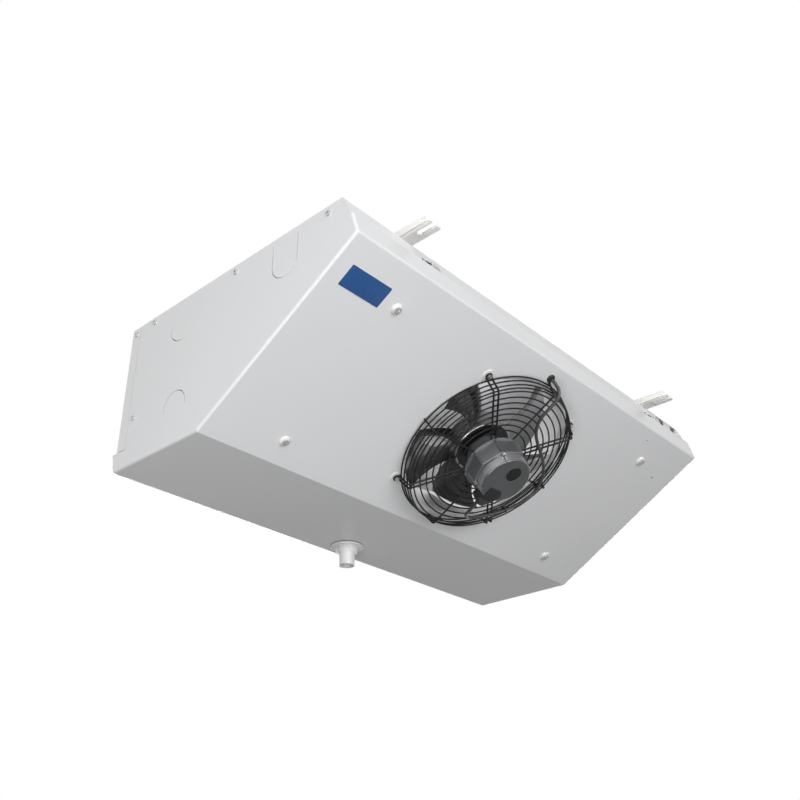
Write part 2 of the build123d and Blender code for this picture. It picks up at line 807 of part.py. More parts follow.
# Terminal box under the top panel, open at the bottom and closed by its lid
box_x = (right_end - right_bay + panel_right) / 2
box_y = terminal_box_front + terminal_box_size[1] / 2
with BuildPart() as terminal_box:
    with BuildSketch(level_plane(casing_sheet)):
        with Locations((box_x, box_y)):
            RectangleRounded(terminal_box_size[0], terminal_box_size[1], terminal_corner)
    extrude(amount=-terminal_box_size[2])
    with BuildSketch(level_plane(casing_sheet + terminal_box_wall)):
        with Locations((box_x, box_y)):
            RectangleRounded(
                terminal_box_size[0] - 2 * terminal_box_wall,
                terminal_box_size[1] - 2 * terminal_box_wall,
                terminal_corner / 2,
            )
    extrude(amount=-terminal_box_size[2], mode=Mode.SUBTRACT)
    with BuildSketch(level_plane(casing_sheet + terminal_box_wall)):
        with Locations((box_x, box_y)):
            with GridLocations(0, terminal_box_size[1] - 2 * terminal_post_inset, 1, 2):
                Rectangle(terminal_box_size[0] - 2 * terminal_box_wall, terminal_post_size[0])
    extrude(amount=-terminal_post_size[1])
    gland_side = Plane(
        origin=(box_x - terminal_box_size[0] / 2, front_y + box_y, top_z - terminal_box_size[2] / 2),
        z_dir=(-1, 0, 0),
    )
    with BuildSketch(gland_side):
        Circle(gland_radius)
    extrude(amount=gland_length)
    with BuildSketch(gland_side.offset(gland_length)):
        Circle(gland_radius / 2)
    extrude(amount=-gland_length - terminal_box_wall, mode=Mode.SUBTRACT)
save(terminal_box.part, "terminal_box")

lid_drop = casing_sheet + terminal_box_size[2]
with BuildPart() as terminal_box_lid:
    with BuildSketch(level_plane(lid_drop)):
        with Locations((box_x, box_y)):
            RectangleRounded(terminal_box_size[0], terminal_box_size[1], terminal_corner)
    extrude(amount=-terminal_lid)
    fillet(terminal_box_lid.faces().sort_by(Axis.Z)[0].edges(), terminal_lid_edge)
save(terminal_box_lid.part, "terminal_box_lid")

# Screws of the hood's end faces. Their shanks stay in the hood's own sheet.
with BuildPart() as side_screws:
    for end, outward in ((left_end, -1), (right_end, 1)):
        for back, drop in side_screw_places:
            plane = Plane(
                origin=(end, front_y + back, top_z - drop), x_dir=(0, 1, 0), z_dir=(outward, 0, 0)
            )
            add(screw(plane, side_screw_head, side_screw_height, side_screw_shank, hood_sheet))
save(side_screws.part, "side_screws")

# Stiffeners behind the sloped panel, held by four screws with wide washers
stiffener_length = stiffener_ends[1] - stiffener_ends[0]
for name, x in zip(("left_stiffener", "right_stiffener"), panel_screw_x):
    with BuildPart() as stiffener:
        middle = slope_point(x, sum(stiffener_ends) / 2)
        with BuildSketch(fan_plane.offset(-hood_sheet)):
            with Locations(middle):
                Rectangle(stiffener_width, stiffener_length)
        extrude(amount=-stiffener_depth)
        with BuildSketch(fan_plane.offset(-hood_sheet - stiffener_sheet)):
            with Locations(middle):
                Rectangle(stiffener_width - 2 * stiffener_sheet, stiffener_length)
        extrude(amount=-stiffener_depth, mode=Mode.SUBTRACT)
        with BuildSketch(fan_plane):
            with Locations(*[slope_point(x, down) for down in panel_screw_down]):
                Circle(panel_screw_radius + fit_gap)
        extrude(amount=-stiffener_depth, mode=Mode.SUBTRACT)
    save(stiffener.part, name)

panel_screw_places = [slope_point(x, down) for x in panel_screw_x for down in panel_screw_down]
with BuildPart() as panel_washers:
    with BuildSketch(fan_plane):
        with Locations(*panel_screw_places):
            Circle(washer_radius)
    extrude(amount=washer_height, taper=washer_taper)
    with BuildSketch(fan_plane):
        with Locations(*panel_screw_places):
            Circle(panel_screw_radius + fit_gap)
    extrude(amount=washer_height, mode=Mode.SUBTRACT)
save(panel_washers.part, "panel_washers")

with BuildPart() as panel_screws:
    for x, y in panel_screw_places:
        shank = washer_height + hood_sheet + stiffener_sheet + screw_tip
        seat = on_fan(x, y, washer_height)
        add(screw(seat, panel_screw_head, panel_screw_height, panel_screw_radius, shank))
save(panel_screws.part, "panel_screws")

# Drain: spigot under the tray, its seal and its nut inside
drain_top = level_plane(casing_height)
with BuildPart() as drain_spigot:
    with BuildSketch(drain_top.offset(-drain_seal)):
        with Locations((drain_x, drain_back)):
            Circle(drain_flange_radius)
    extrude(amount=-drain_flange)
    fillet(drain_spigot.faces().sort_by(Axis.Z)[0].edges(), drain_edge_radius)
    with BuildSketch(drain_top.offset(-drain_seal)):
        with Locations((drain_x, drain_back)):
            Circle(drain_collar_radius)
    extrude(amount=-drain_flange - drain_collar)
    with BuildSketch(drain_top):
        with Locations((drain_x, drain_back)):
            Circle(drain_tube_radius)
    extrude(amount=-drain_length)
    with BuildSketch(drain_top.offset(-drain_seal)):
        with Locations((drain_x, drain_back)):
            Circle(drain_neck_radius)
    extrude(amount=drain_neck)
    with BuildSketch(drain_top.offset(drain_neck)):
        with Locations((drain_x, drain_back)):
            Circle(drain_bore_radius)
    extrude(amount=-drain_neck - drain_length, mode=Mode.SUBTRACT)
save(drain_spigot.part, "drain_spigot")

with BuildPart() as drain_washer:
    with BuildSketch(drain_top):
        with Locations((drain_x, drain_back)):
            Circle(drain_flange_radius - drain_edge_radius)
            Circle(drain_neck_radius + fit_gap, mode=Mode.SUBTRACT)
    extrude(amount=-drain_seal)
save(drain_washer.part, "drain_seal")

with BuildPart() as drain_nut:
    with BuildSketch(drain_top.offset(hood_sheet)):
        with Locations((drain_x, drain_back)):
            RegularPolygon(drain_nut_width / 2, 6, major_radius=False)
            Circle(drain_neck_radius + fit_gap, mode=Mode.SUBTRACT)
    extrude(amount=drain_nut_height)
save(drain_nut.part, "drain_nut")

# Fan nozzle: a flange behind the panel, a rounded mouth and a straight throat
nozzle_flange = foot_circle + nozzle_margin
with BuildPart() as fan_nozzle:
    with BuildSketch(fan_section):
        with BuildLine():
            mouth_back = -hood_sheet - opening_radius + nozzle_throat
            Polyline(
                (opening_radius, -hood_sheet),
                (nozzle_flange, -hood_sheet),
                (nozzle_flange, -hood_sheet - nozzle_wall),
                (opening_radius, -hood_sheet - nozzle_wall),
                (nozzle_throat + nozzle_wall, mouth_back),
                (nozzle_throat + nozzle_wall, -nozzle_length),
                (nozzle_throat, -nozzle_length),
                (nozzle_throat, mouth_back),
            )
            RadiusArc(
                (nozzle_throat, mouth_back), (opening_radius, -hood_sheet), opening_radius - nozzle_throat
            )
        make_face()
    revolve(axis=fan_axis)
    with BuildSketch(fan_plane):
        with PolarLocations(foot_circle, foot_count, start_angle=foot_turn):
            Circle(foot_screw_radius + fit_gap)
        with Locations(grommet_place):
            Circle(grommet_radius + 2 * hole_gap)
    extrude(amount=-hood_sheet - nozzle_wall, mode=Mode.SUBTRACT)
save(fan_nozzle.part, "fan_nozzle")

# Wire guard. The struts lie outside the rings: eight flat rings, one at the bend and three down the side.
weld_step = (strut_wire + ring_wire) / 2
ring_level = guard_height - weld_step
bend_ring = strut_bend - bend_ring_inset
ring_count = int((bend_ring - first_ring) / ring_pitch) + 1
ring_radii = [first_ring + ring_pitch * index for index in range(ring_count)] + [bend_ring]


def wire_ring(radius, height):
    """A wire bent into a ring about the fan's axis."""
    with BuildPart() as ring:
        with BuildSketch(fan_section):
            with Locations((radius, height)):
                RegularPolygon(ring_wire / 2, wire_sides)
        revolve(axis=fan_axis)
    return ring.part


with BuildPart() as guard_front_rings:
    for radius in ring_radii:
        add(wire_ring(radius, ring_level))
save(guard_front_rings.part, "guard_front_rings")

side_lean = (guard_base - strut_bend) / guard_height
with BuildPart() as guard_side_rings:
    for height in side_ring_heights:
        add(wire_ring(guard_base - side_lean * height - weld_step, height))
save(guard_side_rings.part, "guard_side_rings")

foot_level = foot_washer_height + strut_wire / 2
half_gap = foot_gap / 2
loop_end = foot_circle + half_gap
double_strut = [
    (strut_inner, half_gap, guard_height),
    (strut_bend, half_gap, guard_height),
    (guard_base, half_gap, foot_level),
    (loop_end, half_gap, foot_level),
    (loop_end, -half_gap, foot_level),
    (guard_base, -half_gap, foot_level),
    (strut_bend, -half_gap, guard_height),
    (strut_inner, -half_gap, guard_height),
]
single_strut = [
    (strut_inner, 0.0, guard_height),
    (strut_bend, 0.0, guard_height),
    (guard_base - side_lean * strut_wire, 0.0, strut_wire),
]


def strut(points, radii, angle):
    """A bent wire of the guard, turned to its place about the fan's axis."""
    turned = Plane(fan_plane.origin, x_dir=fan_plane.x_dir.rotate(fan_axis, angle), z_dir=fan_plane.z_dir)
    return bar_along([turned.from_local_coords(p) for p in points], radii, strut_wire / 2, wire_sides)


foot_angles = [foot_turn + 360 / foot_count * index for index in range(foot_count)]
end_radius = half_gap - 0.1
loop_radii = [strut_bend_radius, foot_bend_radius, end_radius, end_radius, foot_bend_radius, strut_bend_radius]
with BuildPart() as guard_double_struts:
    for angle in foot_angles:
        add(strut(double_strut, loop_radii, angle))
save(guard_double_struts.part, "guard_double_struts")

with BuildPart() as guard_single_struts:
    for angle in foot_angles:
        add(strut(single_strut, [strut_bend_radius], angle - foot_turn))
save(guard_single_struts.part, "guard_single_struts")

motor_seat = guard_height + strut_wire / 2
with BuildPart() as guard_motor_ring:
    with BuildSketch(fan_plane.offset(motor_seat)):
        Circle(motor_radius)
        Circle(boss_radius + fit_gap, mode=Mode.SUBTRACT)
    extrude(amount=motor_ring_sheet)
save(guard_motor_ring.part, "guard_motor_ring")

foot_places = [
    (foot_circle * math.cos(math.radians(angle)), foot_circle * math.sin(math.radians(angle)))
    for angle in foot_angles
]
with BuildPart() as guard_foot_washers:
    with BuildSketch(fan_plane):
        with Locations(*foot_places):
            Circle(foot_washer_radius)
            Circle(foot_screw_radius + fit_gap, mode=Mode.SUBTRACT)
    extrude(amount=foot_washer_height)
save(guard_foot_washers.part, "guard_foot_washers")

with BuildPart() as guard_foot_screws:
    for x, y in foot_places:
        seat = strut_wire + foot_washer_height
        shank = seat + hood_sheet + nozzle_wall + screw_tip
        add(screw(on_fan(x, y, seat), foot_screw_head, foot_screw_height, foot_screw_radius, shank))
save(guard_foot_screws.part, "guard_foot_screws")

# Motor: an eight-sided housing with a rib on each corner, and the stator that reaches through the guard
housing_seat = motor_seat + motor_ring_sheet
with BuildPart() as motor_body:
    with BuildSketch(fan_plane.offset(housing_seat)):
        RegularPolygon(motor_radius, motor_sides, rotation=motor_turn)
    with BuildSketch(fan_plane.offset(motor_top)):
        RegularPolygon(motor_radius - motor_taper, motor_sides, rotation=motor_turn)
    loft()
    rib_height = motor_top - housing_seat
    with BuildSketch(fan_plane.offset(housing_seat)):
        with PolarLocations(motor_radius - rib_radius, motor_sides, start_angle=motor_turn):
            Circle(rib_radius * 1.5)
    extrude(amount=rib_height - rib_end)
    with BuildSketch(fan_plane.offset(housing_seat)):
        Circle(boss_radius + fit_gap)
    extrude(amount=rib_height - 2 * motor_wall, mode=Mode.SUBTRACT)
    with BuildSketch(fan_plane.offset(motor_top)):
        with PolarLocations(cap_screw_circle, foot_count, start_angle=foot_turn):
            Circle(cap_thread_radius)
    extrude(amount=-cap_thread_length - rest_gap, mode=Mode.SUBTRACT)
save(motor_body.part, "motor_body")

with BuildPart() as motor_cap:
    with BuildSketch(fan_plane.offset(motor_top)):
        Circle(cap_radius)
    extrude(amount=cap_top - motor_top, taper=cap_taper)
    fillet(motor_cap.edges().filter_by(GeomType.CIRCLE).sort_by(fan_axis)[-1], cap_edge_radius)
    with BuildSketch(fan_plane.offset(motor_top)):
        with PolarLocations(cap_screw_circle, foot_count, start_angle=foot_turn):
            Circle(cap_well_radius)
    extrude(amount=cap_top - motor_top, mode=Mode.SUBTRACT)
    with BuildSketch(fan_plane.offset(cap_top)):
        with Locations(button_place):
            Circle(button_radius + fit_gap)
    extrude(amount=-2 * button_depth, mode=Mode.SUBTRACT)
save(motor_cap.part, "motor_cap")

with BuildPart() as port_plug:
    with BuildSketch(fan_plane.offset(cap_top - 2 * button_depth)):
        with Locations(button_place):
            Circle(button_radius)
    extrude(amount=button_depth)
    with BuildSketch(fan_plane.offset(cap_top - button_depth)):
        with Locations(button_place):
            Rectangle(button_radius, plug_slot)
    extrude(amount=-button_depth / 2, mode=Mode.SUBTRACT)
save(port_plug.part, "port_plug")

with BuildPart() as motor_cap_screws:
    for angle in foot_angles:
        x = cap_screw_circle * math.cos(math.radians(angle))
        y = cap_screw_circle * math.sin(math.radians(angle))
        seat = on_fan(x, y, motor_top)
        add(screw(seat, cap_screw_radius, cap_screw_height, cap_thread_radius, cap_thread_length))
save(motor_cap_screws.part, "motor_cap_screws")

stator_top = housing_seat + rib_height - 2 * motor_wall
bearing_seats = (boss_bottom, stator_top - bearing_width)
with BuildPart() as motor_stator:
    with BuildSketch(fan_plane.offset(boss_bottom)):
        Circle(boss_radius)
    extrude(amount=stator_top - boss_bottom)
    with BuildSketch(fan_plane.offset(boss_bottom)):
        Circle(bearing_radius + fit_gap)
    extrude(amount=stator_top - boss_bottom, mode=Mode.SUBTRACT)
    with BuildSketch(fan_plane.offset(boss_bottom + bearing_width)):
        Circle(stator_inner)
    extrude(amount=stator_top - boss_bottom - 2 * bearing_width, mode=Mode.SUBTRACT)
save(motor_stator.part, "motor_stator")

for name, seat in zip(("front_bearing", "rear_bearing"), bearing_seats):
    with BuildPart() as bearing:
        with BuildSketch(fan_plane.offset(seat)):
            Circle(bearing_radius)
            Circle(shaft_radius + running_gap, mode=Mode.SUBTRACT)
        extrude(amount=bearing_width)
    save(bearing.part, name)

# Impeller on its shaft
with BuildPart() as motor_shaft:
    with BuildSketch(fan_plane.offset(hub_bottom + hub_wall)):
        Circle(shaft_radius)
    extrude(amount=stator_top - core_end_gap - hub_bottom - hub_wall)
save(motor_shaft.part, "motor_shaft")

with BuildPart() as rotor_core:
    with BuildSketch(fan_plane.offset(boss_bottom + bearing_width + core_end_gap)):
        Circle(stator_inner - rotor_gap)
        Circle(shaft_radius + fit_gap, mode=Mode.SUBTRACT)
    extrude(amount=stator_top - boss_bottom - 2 * (bearing_width + core_end_gap))
save(rotor_core.part, "rotor_core")

with BuildPart() as fan_hub:
    with BuildSketch(fan_section):
        with BuildLine():
            Polyline(
                (shaft_radius + fit_gap, hub_top),
                (hub_radius, hub_top),
                (hub_radius, hub_bottom),
                (hub_radius - hub_wall, hub_bottom),
                (hub_radius - hub_wall, hub_top - hub_wall),
                (hub_boss_radius, hub_top - hub_wall),
                (hub_boss_radius, hub_bottom + 2 * hub_wall),
                (shaft_radius + fit_gap, hub_bottom + 2 * hub_wall),
                close=True,
            )
        make_face()
    revolve(axis=fan_axis)
save(fan_hub.part, "fan_hub")


def blade_section(radius, chord, pitch, camber, turn):
    """Curved section of a blade, on a plane square to the radius at the given turn about the axis."""
    outward = fan_plane.x_dir.rotate(fan_axis, turn)
    along = fan_plane.z_dir.cross(outward)
    place = Vector(fan_plane.origin) + outward * radius + fan_plane.z_dir * blade_middle
    cosine = math.cos(math.radians(pitch))
    sine = math.sin(math.radians(pitch))

    def point(run, rise):
        return (run * cosine - rise * sine, run * sine + rise * cosine)

    with BuildSketch(Plane(origin=place, x_dir=along, z_dir=outward)) as section:
        with BuildLine():
            upper = ThreePointArc(
                point(-chord / 2, 0), point(0, camber + blade_thickness / 2), point(chord / 2, 0)
            )
            ThreePointArc(upper @ 1, point(0, camber - blade_thickness / 2), upper @ 0)
        make_face()
    return section.sketch


def blade(turn):
    """A twisted blade from the hub to its tip."""
    with BuildPart() as body:
        for radius, chord, pitch, camber, sweep_back in blade_stations:
            add(blade_section(radius, chord, pitch, camber, turn + sweep_back))
        loft()
        with BuildSketch(fan_plane.offset(hub_bottom - 20)):
            Circle(tip_radius)
            Circle(hub_radius, mode=Mode.SUBTRACT)
        extrude(amount=80, mode=Mode.INTERSECT)
    return body.part


with BuildPart() as fan_blades:
    for index in range(blade_count):
        add(blade(360 / blade_count * index))
save(fan_blades.part, "fan_blades")

# Motor lead: outlet on the motor, the lead itself, its ties and its grommet in the panel
outlet_x = math.cos(math.radians(outlet_angle))
outlet_y = math.sin(math.radians(outlet_angle))
outlet_plane = Plane(
    origin=fan_plane.from_local_coords((outlet_outer * outlet_x, outlet_outer * outlet_y, outlet_level)),
    x_dir=fan_plane.z_dir,
    z_dir=fan_plane.from_local_coords((outlet_x, outlet_y, 0)) - Vector(fan_plane.origin),
)
outlet_root = motor_radius * math.cos(math.radians(22.5)) - motor_taper
with BuildPart() as cable_outlet:
    with BuildSketch(outlet_plane):
        RectangleRounded(outlet_height, outlet_width, 3)
    extrude(amount=-(outlet_outer - outlet_root + 4))
    with BuildSketch(outlet_plane):
        Circle(lead_radius * 1.7)
    extrude(amount=outlet_nose, taper=6)
    with BuildSketch(fan_plane.offset(housing_seat)):
        RegularPolygon(motor_radius, motor_sides, rotation=motor_turn)
    with BuildSketch(fan_plane.offset(motor_top)):
        RegularPolygon(motor_radius - motor_taper, motor_sides, rotation=motor_turn)
    loft(mode=Mode.SUBTRACT)
    with BuildSketch(fan_plane.offset(housing_seat)):
        with PolarLocations(motor_radius - rib_radius, motor_sides, start_angle=motor_turn):
            Circle(rib_radius * 1.5)
    extrude(amount=rib_height - rib_end, mode=Mode.SUBTRACT)
save(cable_outlet.part, "cable_outlet")

lead_end = outlet_outer + outlet_nose
lead_points = lead_route + [(lead_end * outlet_x, lead_end * outlet_y, outlet_level)]
lead_radii = arc_radii(lead_points)
lead_world = [fan_plane.from_local_coords(p) for p in lead_points]
motor_lead = bar_along(lead_world, lead_radii, lead_radius, lead_sides)
save(motor_lead, "motor_lead")
print("motor lead radii", [round(radius, 1) for radius in lead_radii])
with BuildLine() as lead_line:
    FilletPolyline(*lead_world, radius=lead_radii)
lead_section = lead_sides / 2 * lead_radius**2 * math.sin(2 * math.pi / lead_sides)
lead_length = sum(edge.length for edge in lead_line.edges())
print("motor lead length", round(lead_length, 1))
print("motor lead volume", round(motor_lead.volume), "section x length", round(lead_section * lead_length))

with BuildPart() as panel_grommet:
    with BuildSketch(fan_section):
        with BuildLine():
            Polyline(
                (lead_radius, -hood_sheet - grommet_rim),
                (grommet_radius, -hood_sheet - grommet_rim),
                (grommet_radius, -hood_sheet),
                (grommet_radius - grommet_lip, -hood_sheet),
                (grommet_radius - grommet_lip, 0),
                (grommet_radius, 0),
                (grommet_radius, grommet_height - grommet_lip),
                (grommet_radius - grommet_rim, grommet_height),
                (lead_radius, grommet_height),
                close=True,
            )
        make_face()
    revolve(axis=fan_axis)
grommet = panel_grommet.part.moved(
    Location(fan_plane.from_local_coords((*grommet_place, 0)) - Vector(fan_plane.origin))
)
save(grommet, "panel_grommet")

# Ties that hold the lead to the guard's rings
with BuildPart() as cable_ties:
    for fraction in tie_places:
        tie_plane = Plane(
            origin=lead_line.line @ fraction - fan_plane.z_dir * tie_sink,
            x_dir=fan_plane.z_dir,
            z_dir=lead_line.line % fraction,
        )
        with BuildSketch(tie_plane):
            tie_height = 2 * (lead_radius + tie_sink)
            SlotOverall(tie_height + 2 * tie_wall, 2 * (lead_radius + tie_wall))
            SlotOverall(tie_height, 2 * lead_radius, mode=Mode.SUBTRACT)
        extrude(amount=tie_width / 2, both=True)
save(cable_ties.part, "cable_ties")
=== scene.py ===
import json
import math
import bmesh
import bpy
from mathutils import Euler, Matrix, Vector


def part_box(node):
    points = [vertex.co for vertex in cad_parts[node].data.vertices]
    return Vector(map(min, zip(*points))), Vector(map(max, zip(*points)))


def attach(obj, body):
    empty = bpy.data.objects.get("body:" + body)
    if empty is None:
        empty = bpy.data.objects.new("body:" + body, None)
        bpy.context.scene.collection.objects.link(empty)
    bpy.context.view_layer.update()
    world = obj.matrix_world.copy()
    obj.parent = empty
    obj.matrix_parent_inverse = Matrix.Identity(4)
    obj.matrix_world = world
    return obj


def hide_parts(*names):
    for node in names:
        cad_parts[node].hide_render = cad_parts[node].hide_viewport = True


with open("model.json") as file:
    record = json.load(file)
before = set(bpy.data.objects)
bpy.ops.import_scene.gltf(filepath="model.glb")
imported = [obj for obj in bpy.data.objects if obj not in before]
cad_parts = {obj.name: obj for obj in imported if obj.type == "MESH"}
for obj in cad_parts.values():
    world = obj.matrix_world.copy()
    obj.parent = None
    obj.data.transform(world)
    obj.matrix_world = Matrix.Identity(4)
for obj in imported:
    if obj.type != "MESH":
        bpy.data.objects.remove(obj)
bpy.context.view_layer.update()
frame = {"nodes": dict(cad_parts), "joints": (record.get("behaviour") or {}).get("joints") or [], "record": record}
scene = bpy.context.scene
mm = 0.001

# Fan frame: X along the cooler, Y up the sloped panel, Z out along the fan's axis
fanJoint = next(j for j in frame["joints"] if j["name"] == "fan_spin")
fanOut = Vector(fanJoint["axis"]).normalized()
fanSide = Vector((1, 0, 0))
fanFrame = Matrix.Translation(Vector(fanJoint["pos_m"])) @ Matrix(
    (fanSide, fanOut.cross(fanSide), fanOut)
).transposed().to_4x4()


class Value:
    # a socket that can stand in arithmetic
    def __init__(self, shade, socket):
        self.shade = shade
        self.socket = socket

    def calc(self, operation, first, second):
        return Value(self.shade, self.shade.node(
            "ShaderNodeMath", {"operation": operation}, {0: first, 1: second}).outputs[0])

    def __add__(self, other):
        return self.calc("ADD", self, other)

    def __radd__(self, other):
        return self.calc("ADD", other, self)

    def __mul__(self, other):
        return self.calc("MULTIPLY", self, other)

    def __rmul__(self, other):
        return self.calc("MULTIPLY", other, self)


def setStops(ramp, stops):
    while len(ramp.elements) < len(stops):
        ramp.elements.new(0.5)
    for element, (position, level) in zip(ramp.elements, stops):
        element.position = position
        element.color = (level, level, level, 1)


class Shade:
    # a node tree for shading; constants go straight on its nodes' sockets
    def __init__(self, tree):
        self.tree = tree
        self.tree.nodes.clear()

    def node(self, kind, settings=None, sockets=None):
        made = self.tree.nodes.new(kind)
        for key, value in (settings or {}).items():
            if key == "stops":
                setStops(made.color_ramp, value)
            else:
                setattr(made, key, value)
        for key, value in (sockets or {}).items():
            if isinstance(value, Value):
                value = value.socket
            if isinstance(value, bpy.types.NodeSocket):
                self.tree.links.new(value, made.inputs[key])
            else:
                made.inputs[key].default_value = value
        return made


class Skin(Shade):
    # one material on Object coordinates
    def __init__(self, name, color, roughness, metallic=0.0, coat=0.0, specular=0.5):
        self.material = bpy.data.materials.new(name)
        self.material.use_nodes = True
        self.material.diffuse_color = (*color, 1)
        super().__init__(self.material.node_tree)
        self.shader = self.node("ShaderNodeBsdfPrincipled", {}, {
            "Base Color": (*color, 1), "Roughness": roughness, "Metallic": metallic,
            "Coat Weight": coat, "Specular IOR Level": specular})
        self.output = self.node("ShaderNodeOutputMaterial", {}, {"Surface": self.shader.outputs[0]})
        self.place = self.node("ShaderNodeTexCoord").outputs["Object"]

    def noise(self, scale, detail=3.0, stretch=None):
        place = self.place
        if stretch:
            place = self.node("ShaderNodeMapping", {}, {"Vector": place, "Scale": stretch}).outputs[0]
        return Value(self, self.node("ShaderNodeTexNoise", {}, {
            "Vector": place, "Scale": scale, "Detail": detail}).outputs["Fac"])

    def ramp(self, value, stops):
        return Value(self, self.node("ShaderNodeValToRGB", {"stops": stops}, {"Fac": value}).outputs[0])

    def blend(self, colorA, colorB, factor):
        mixed = self.node("ShaderNodeMix", {"data_type": "RGBA"}, {
            "Factor": factor, 6: (*colorA, 1), 7: (*colorB, 1)})
        return mixed.outputs[2]

    def feed(self, socket, value):
        value = value.socket if isinstance(value, Value) else value
        self.tree.links.new(value, self.shader.inputs[socket])

    def bump(self, height, strength, distance):
        bumped = self.node("ShaderNodeBump", {}, {
            "Height": height, "Strength": strength, "Distance": distance})
        self.feed("Normal", bumped.outputs[0])


# Materials, each with what a user would change in its own dictionary
whitePaint = dict(color=(0.80, 0.805, 0.815), worn=(0.74, 0.745, 0.755), roughness=0.30, coat=0.25,
                  coatRoughness=0.18, peelScale=420.0, peelDepth=0.00006)
bareSheet = dict(color=(0.96, 0.95, 0.92), dark=(0.88, 0.87, 0.84), roughness=0.36, grain=(1, 14, 1),
                 metallic=0.15)
zincSheet = dict(color=(0.55, 0.56, 0.57), dark=(0.42, 0.43, 0.44), roughness=0.42, spangle=70.0)
nozzleSheet = dict(color=(0.74, 0.74, 0.74), dark=(0.66, 0.66, 0.66), roughness=0.40, metallic=0.1)
finMetal = dict(color=(0.93, 0.93, 0.93), dark=(0.84, 0.84, 0.84), roughness=0.5, metallic=0.1,
                rippleScale=62.0, rippleDepth=0.0005)
spunMetal = dict(color=(0.50, 0.50, 0.51), dark=(0.38, 0.38, 0.39), roughness=0.28)
copperTube = dict(color=(0.72, 0.36, 0.22), dark=(0.42, 0.20, 0.12), roughness=0.30)
screwMetal = dict(color=(0.66, 0.66, 0.66), dark=(0.42, 0.42, 0.42), roughness=0.30)
whitePlastic = dict(color=(0.84, 0.84, 0.84), dark=(0.78, 0.78, 0.78), roughness=0.40)
wireCoat = dict(color=(0.010, 0.010, 0.011), dark=(0.005, 0.005, 0.005), roughness=0.46, specular=0.25)
motorPaint = dict(color=(0.20, 0.205, 0.21), dark=(0.15, 0.153, 0.157), roughness=0.42, metallic=0.75)
capPaint = dict(color=(0.13, 0.133, 0.137), dark=(0.10, 0.103, 0.106), roughness=0.30, metallic=0.85)
rubberSkin = dict(color=(0.018, 0.018, 0.018), dark=(0.010, 0.010, 0.010), roughness=0.62)
leadSkin = dict(color=(0.034, 0.034, 0.035), dark=(0.024, 0.024, 0.025), roughness=0.42)
bladeMetal = dict(color=(0.013, 0.013, 0.014), dark=(0.008, 0.008, 0.008), roughness=0.26)
# painted shade: near-black colour for the disc on the hub's floor, standing for the shade under the motor
hubShadePaint = dict(color=(0.010, 0.010, 0.011), dark=(0.006, 0.006, 0.006), roughness=0.34)
capSide = dict(color=(0.62, 0.62, 0.63), dark=(0.50, 0.50, 0.51), roughness=0.34)
portMesh = dict(color=(0.030, 0.030, 0.031), dark=(0.006, 0.006, 0.006), roughness=0.6, specular=0.2,
                scale=620.0, turns=(0.6, -0.9), depth=0.0006)
outletPlastic = dict(color=(0.024, 0.025, 0.027), dark=(0.019, 0.020, 0.021), roughness=0.6, specular=0.2)
boxPlastic = dict(color=(0.42, 0.43, 0.44), dark=(0.36, 0.37, 0.38), roughness=0.48)
turnedSteel = dict(color=(0.56, 0.56, 0.57), dark=(0.40, 0.40, 0.41), roughness=0.28)
badgeFace = dict(color=(0.004, 0.075, 0.27), dark=(0.003, 0.06, 0.22), roughness=0.28)


def coated(name, look, coat=0.0, cloud=18.0, peel=260.0, depth=0.00003):
    # paint or plastic: a soft cloud in its colour and gloss, and a fine uneven skin
    shade = Skin(name, look["color"], look["roughness"], look.get("metallic", 0.0), coat,
                 look.get("specular", 0.5))
    soft = shade.ramp(shade.noise(cloud, 4.0), [(0.35, 0.0), (0.65, 1.0)])
    shade.feed("Base Color", shade.blend(look["color"], look["dark"], soft * 0.55))
    shade.feed("Roughness", look["roughness"] - 0.04 + soft * 0.08)
    shade.bump(shade.noise(peel, 2.0), 0.35, depth)
    return shade.material


def metal(name, look, grain=(1, 1, 1), scale=60.0, depth=0.00003):
    # bare metal: a drawn or spun grain in its colour, gloss and skin
    shade = Skin(name, look["color"], look["roughness"], look.get("metallic", 1.0))
    streak = shade.noise(scale, 5.0, grain)
    soft = shade.ramp(streak, [(0.3, 0.0), (0.7, 1.0)])
    shade.feed("Base Color", shade.blend(look["color"], look["dark"], soft * 0.6))
    shade.feed("Roughness", look["roughness"] - 0.05 + soft * 0.14)
    shade.bump(streak, 0.3, depth)
    return shade.material


def paintedSheet():
    look = whitePaint
    shade = Skin("white_paint", look["color"], look["roughness"], 0.0, look["coat"])
    cloud = shade.ramp(shade.noise(5.0, 3.0), [(0.3, 0.0), (0.7, 1.0)])
    shade.feed("Base Color", shade.blend(look["color"], look["worn"], cloud * 0.18))
    peel = shade.noise(look["peelScale"], 2.0)
    shade.feed("Roughness", look["roughness"] - 0.03 + peel * 0.05 + cloud * 0.02)
    shade.bump(peel, 0.25, look["peelDepth"])
    shade.shader.inputs["Coat Roughness"].default_value = look["coatRoughness"]
    return shade.material


def zincSkin():
    look = zincSheet
    shade = Skin("zinc_sheet", look["color"], look["roughness"], 1.0)
    cells = shade.node("ShaderNodeTexVoronoi", {}, {"Vector": shade.place, "Scale": look["spangle"]})
    tone = Value(shade, shade.node("ShaderNodeSeparateColor", {}, {0: cells.outputs["Color"]}).outputs[0])
    shade.feed("Base Color", shade.blend(look["color"], look["dark"], tone * 0.5))
    shade.feed("Roughness", look["roughness"] - 0.06 + tone * 0.12)
    shade.bump(shade.noise(90.0, 3.0), 0.2, 0.00004)
    return shade.material


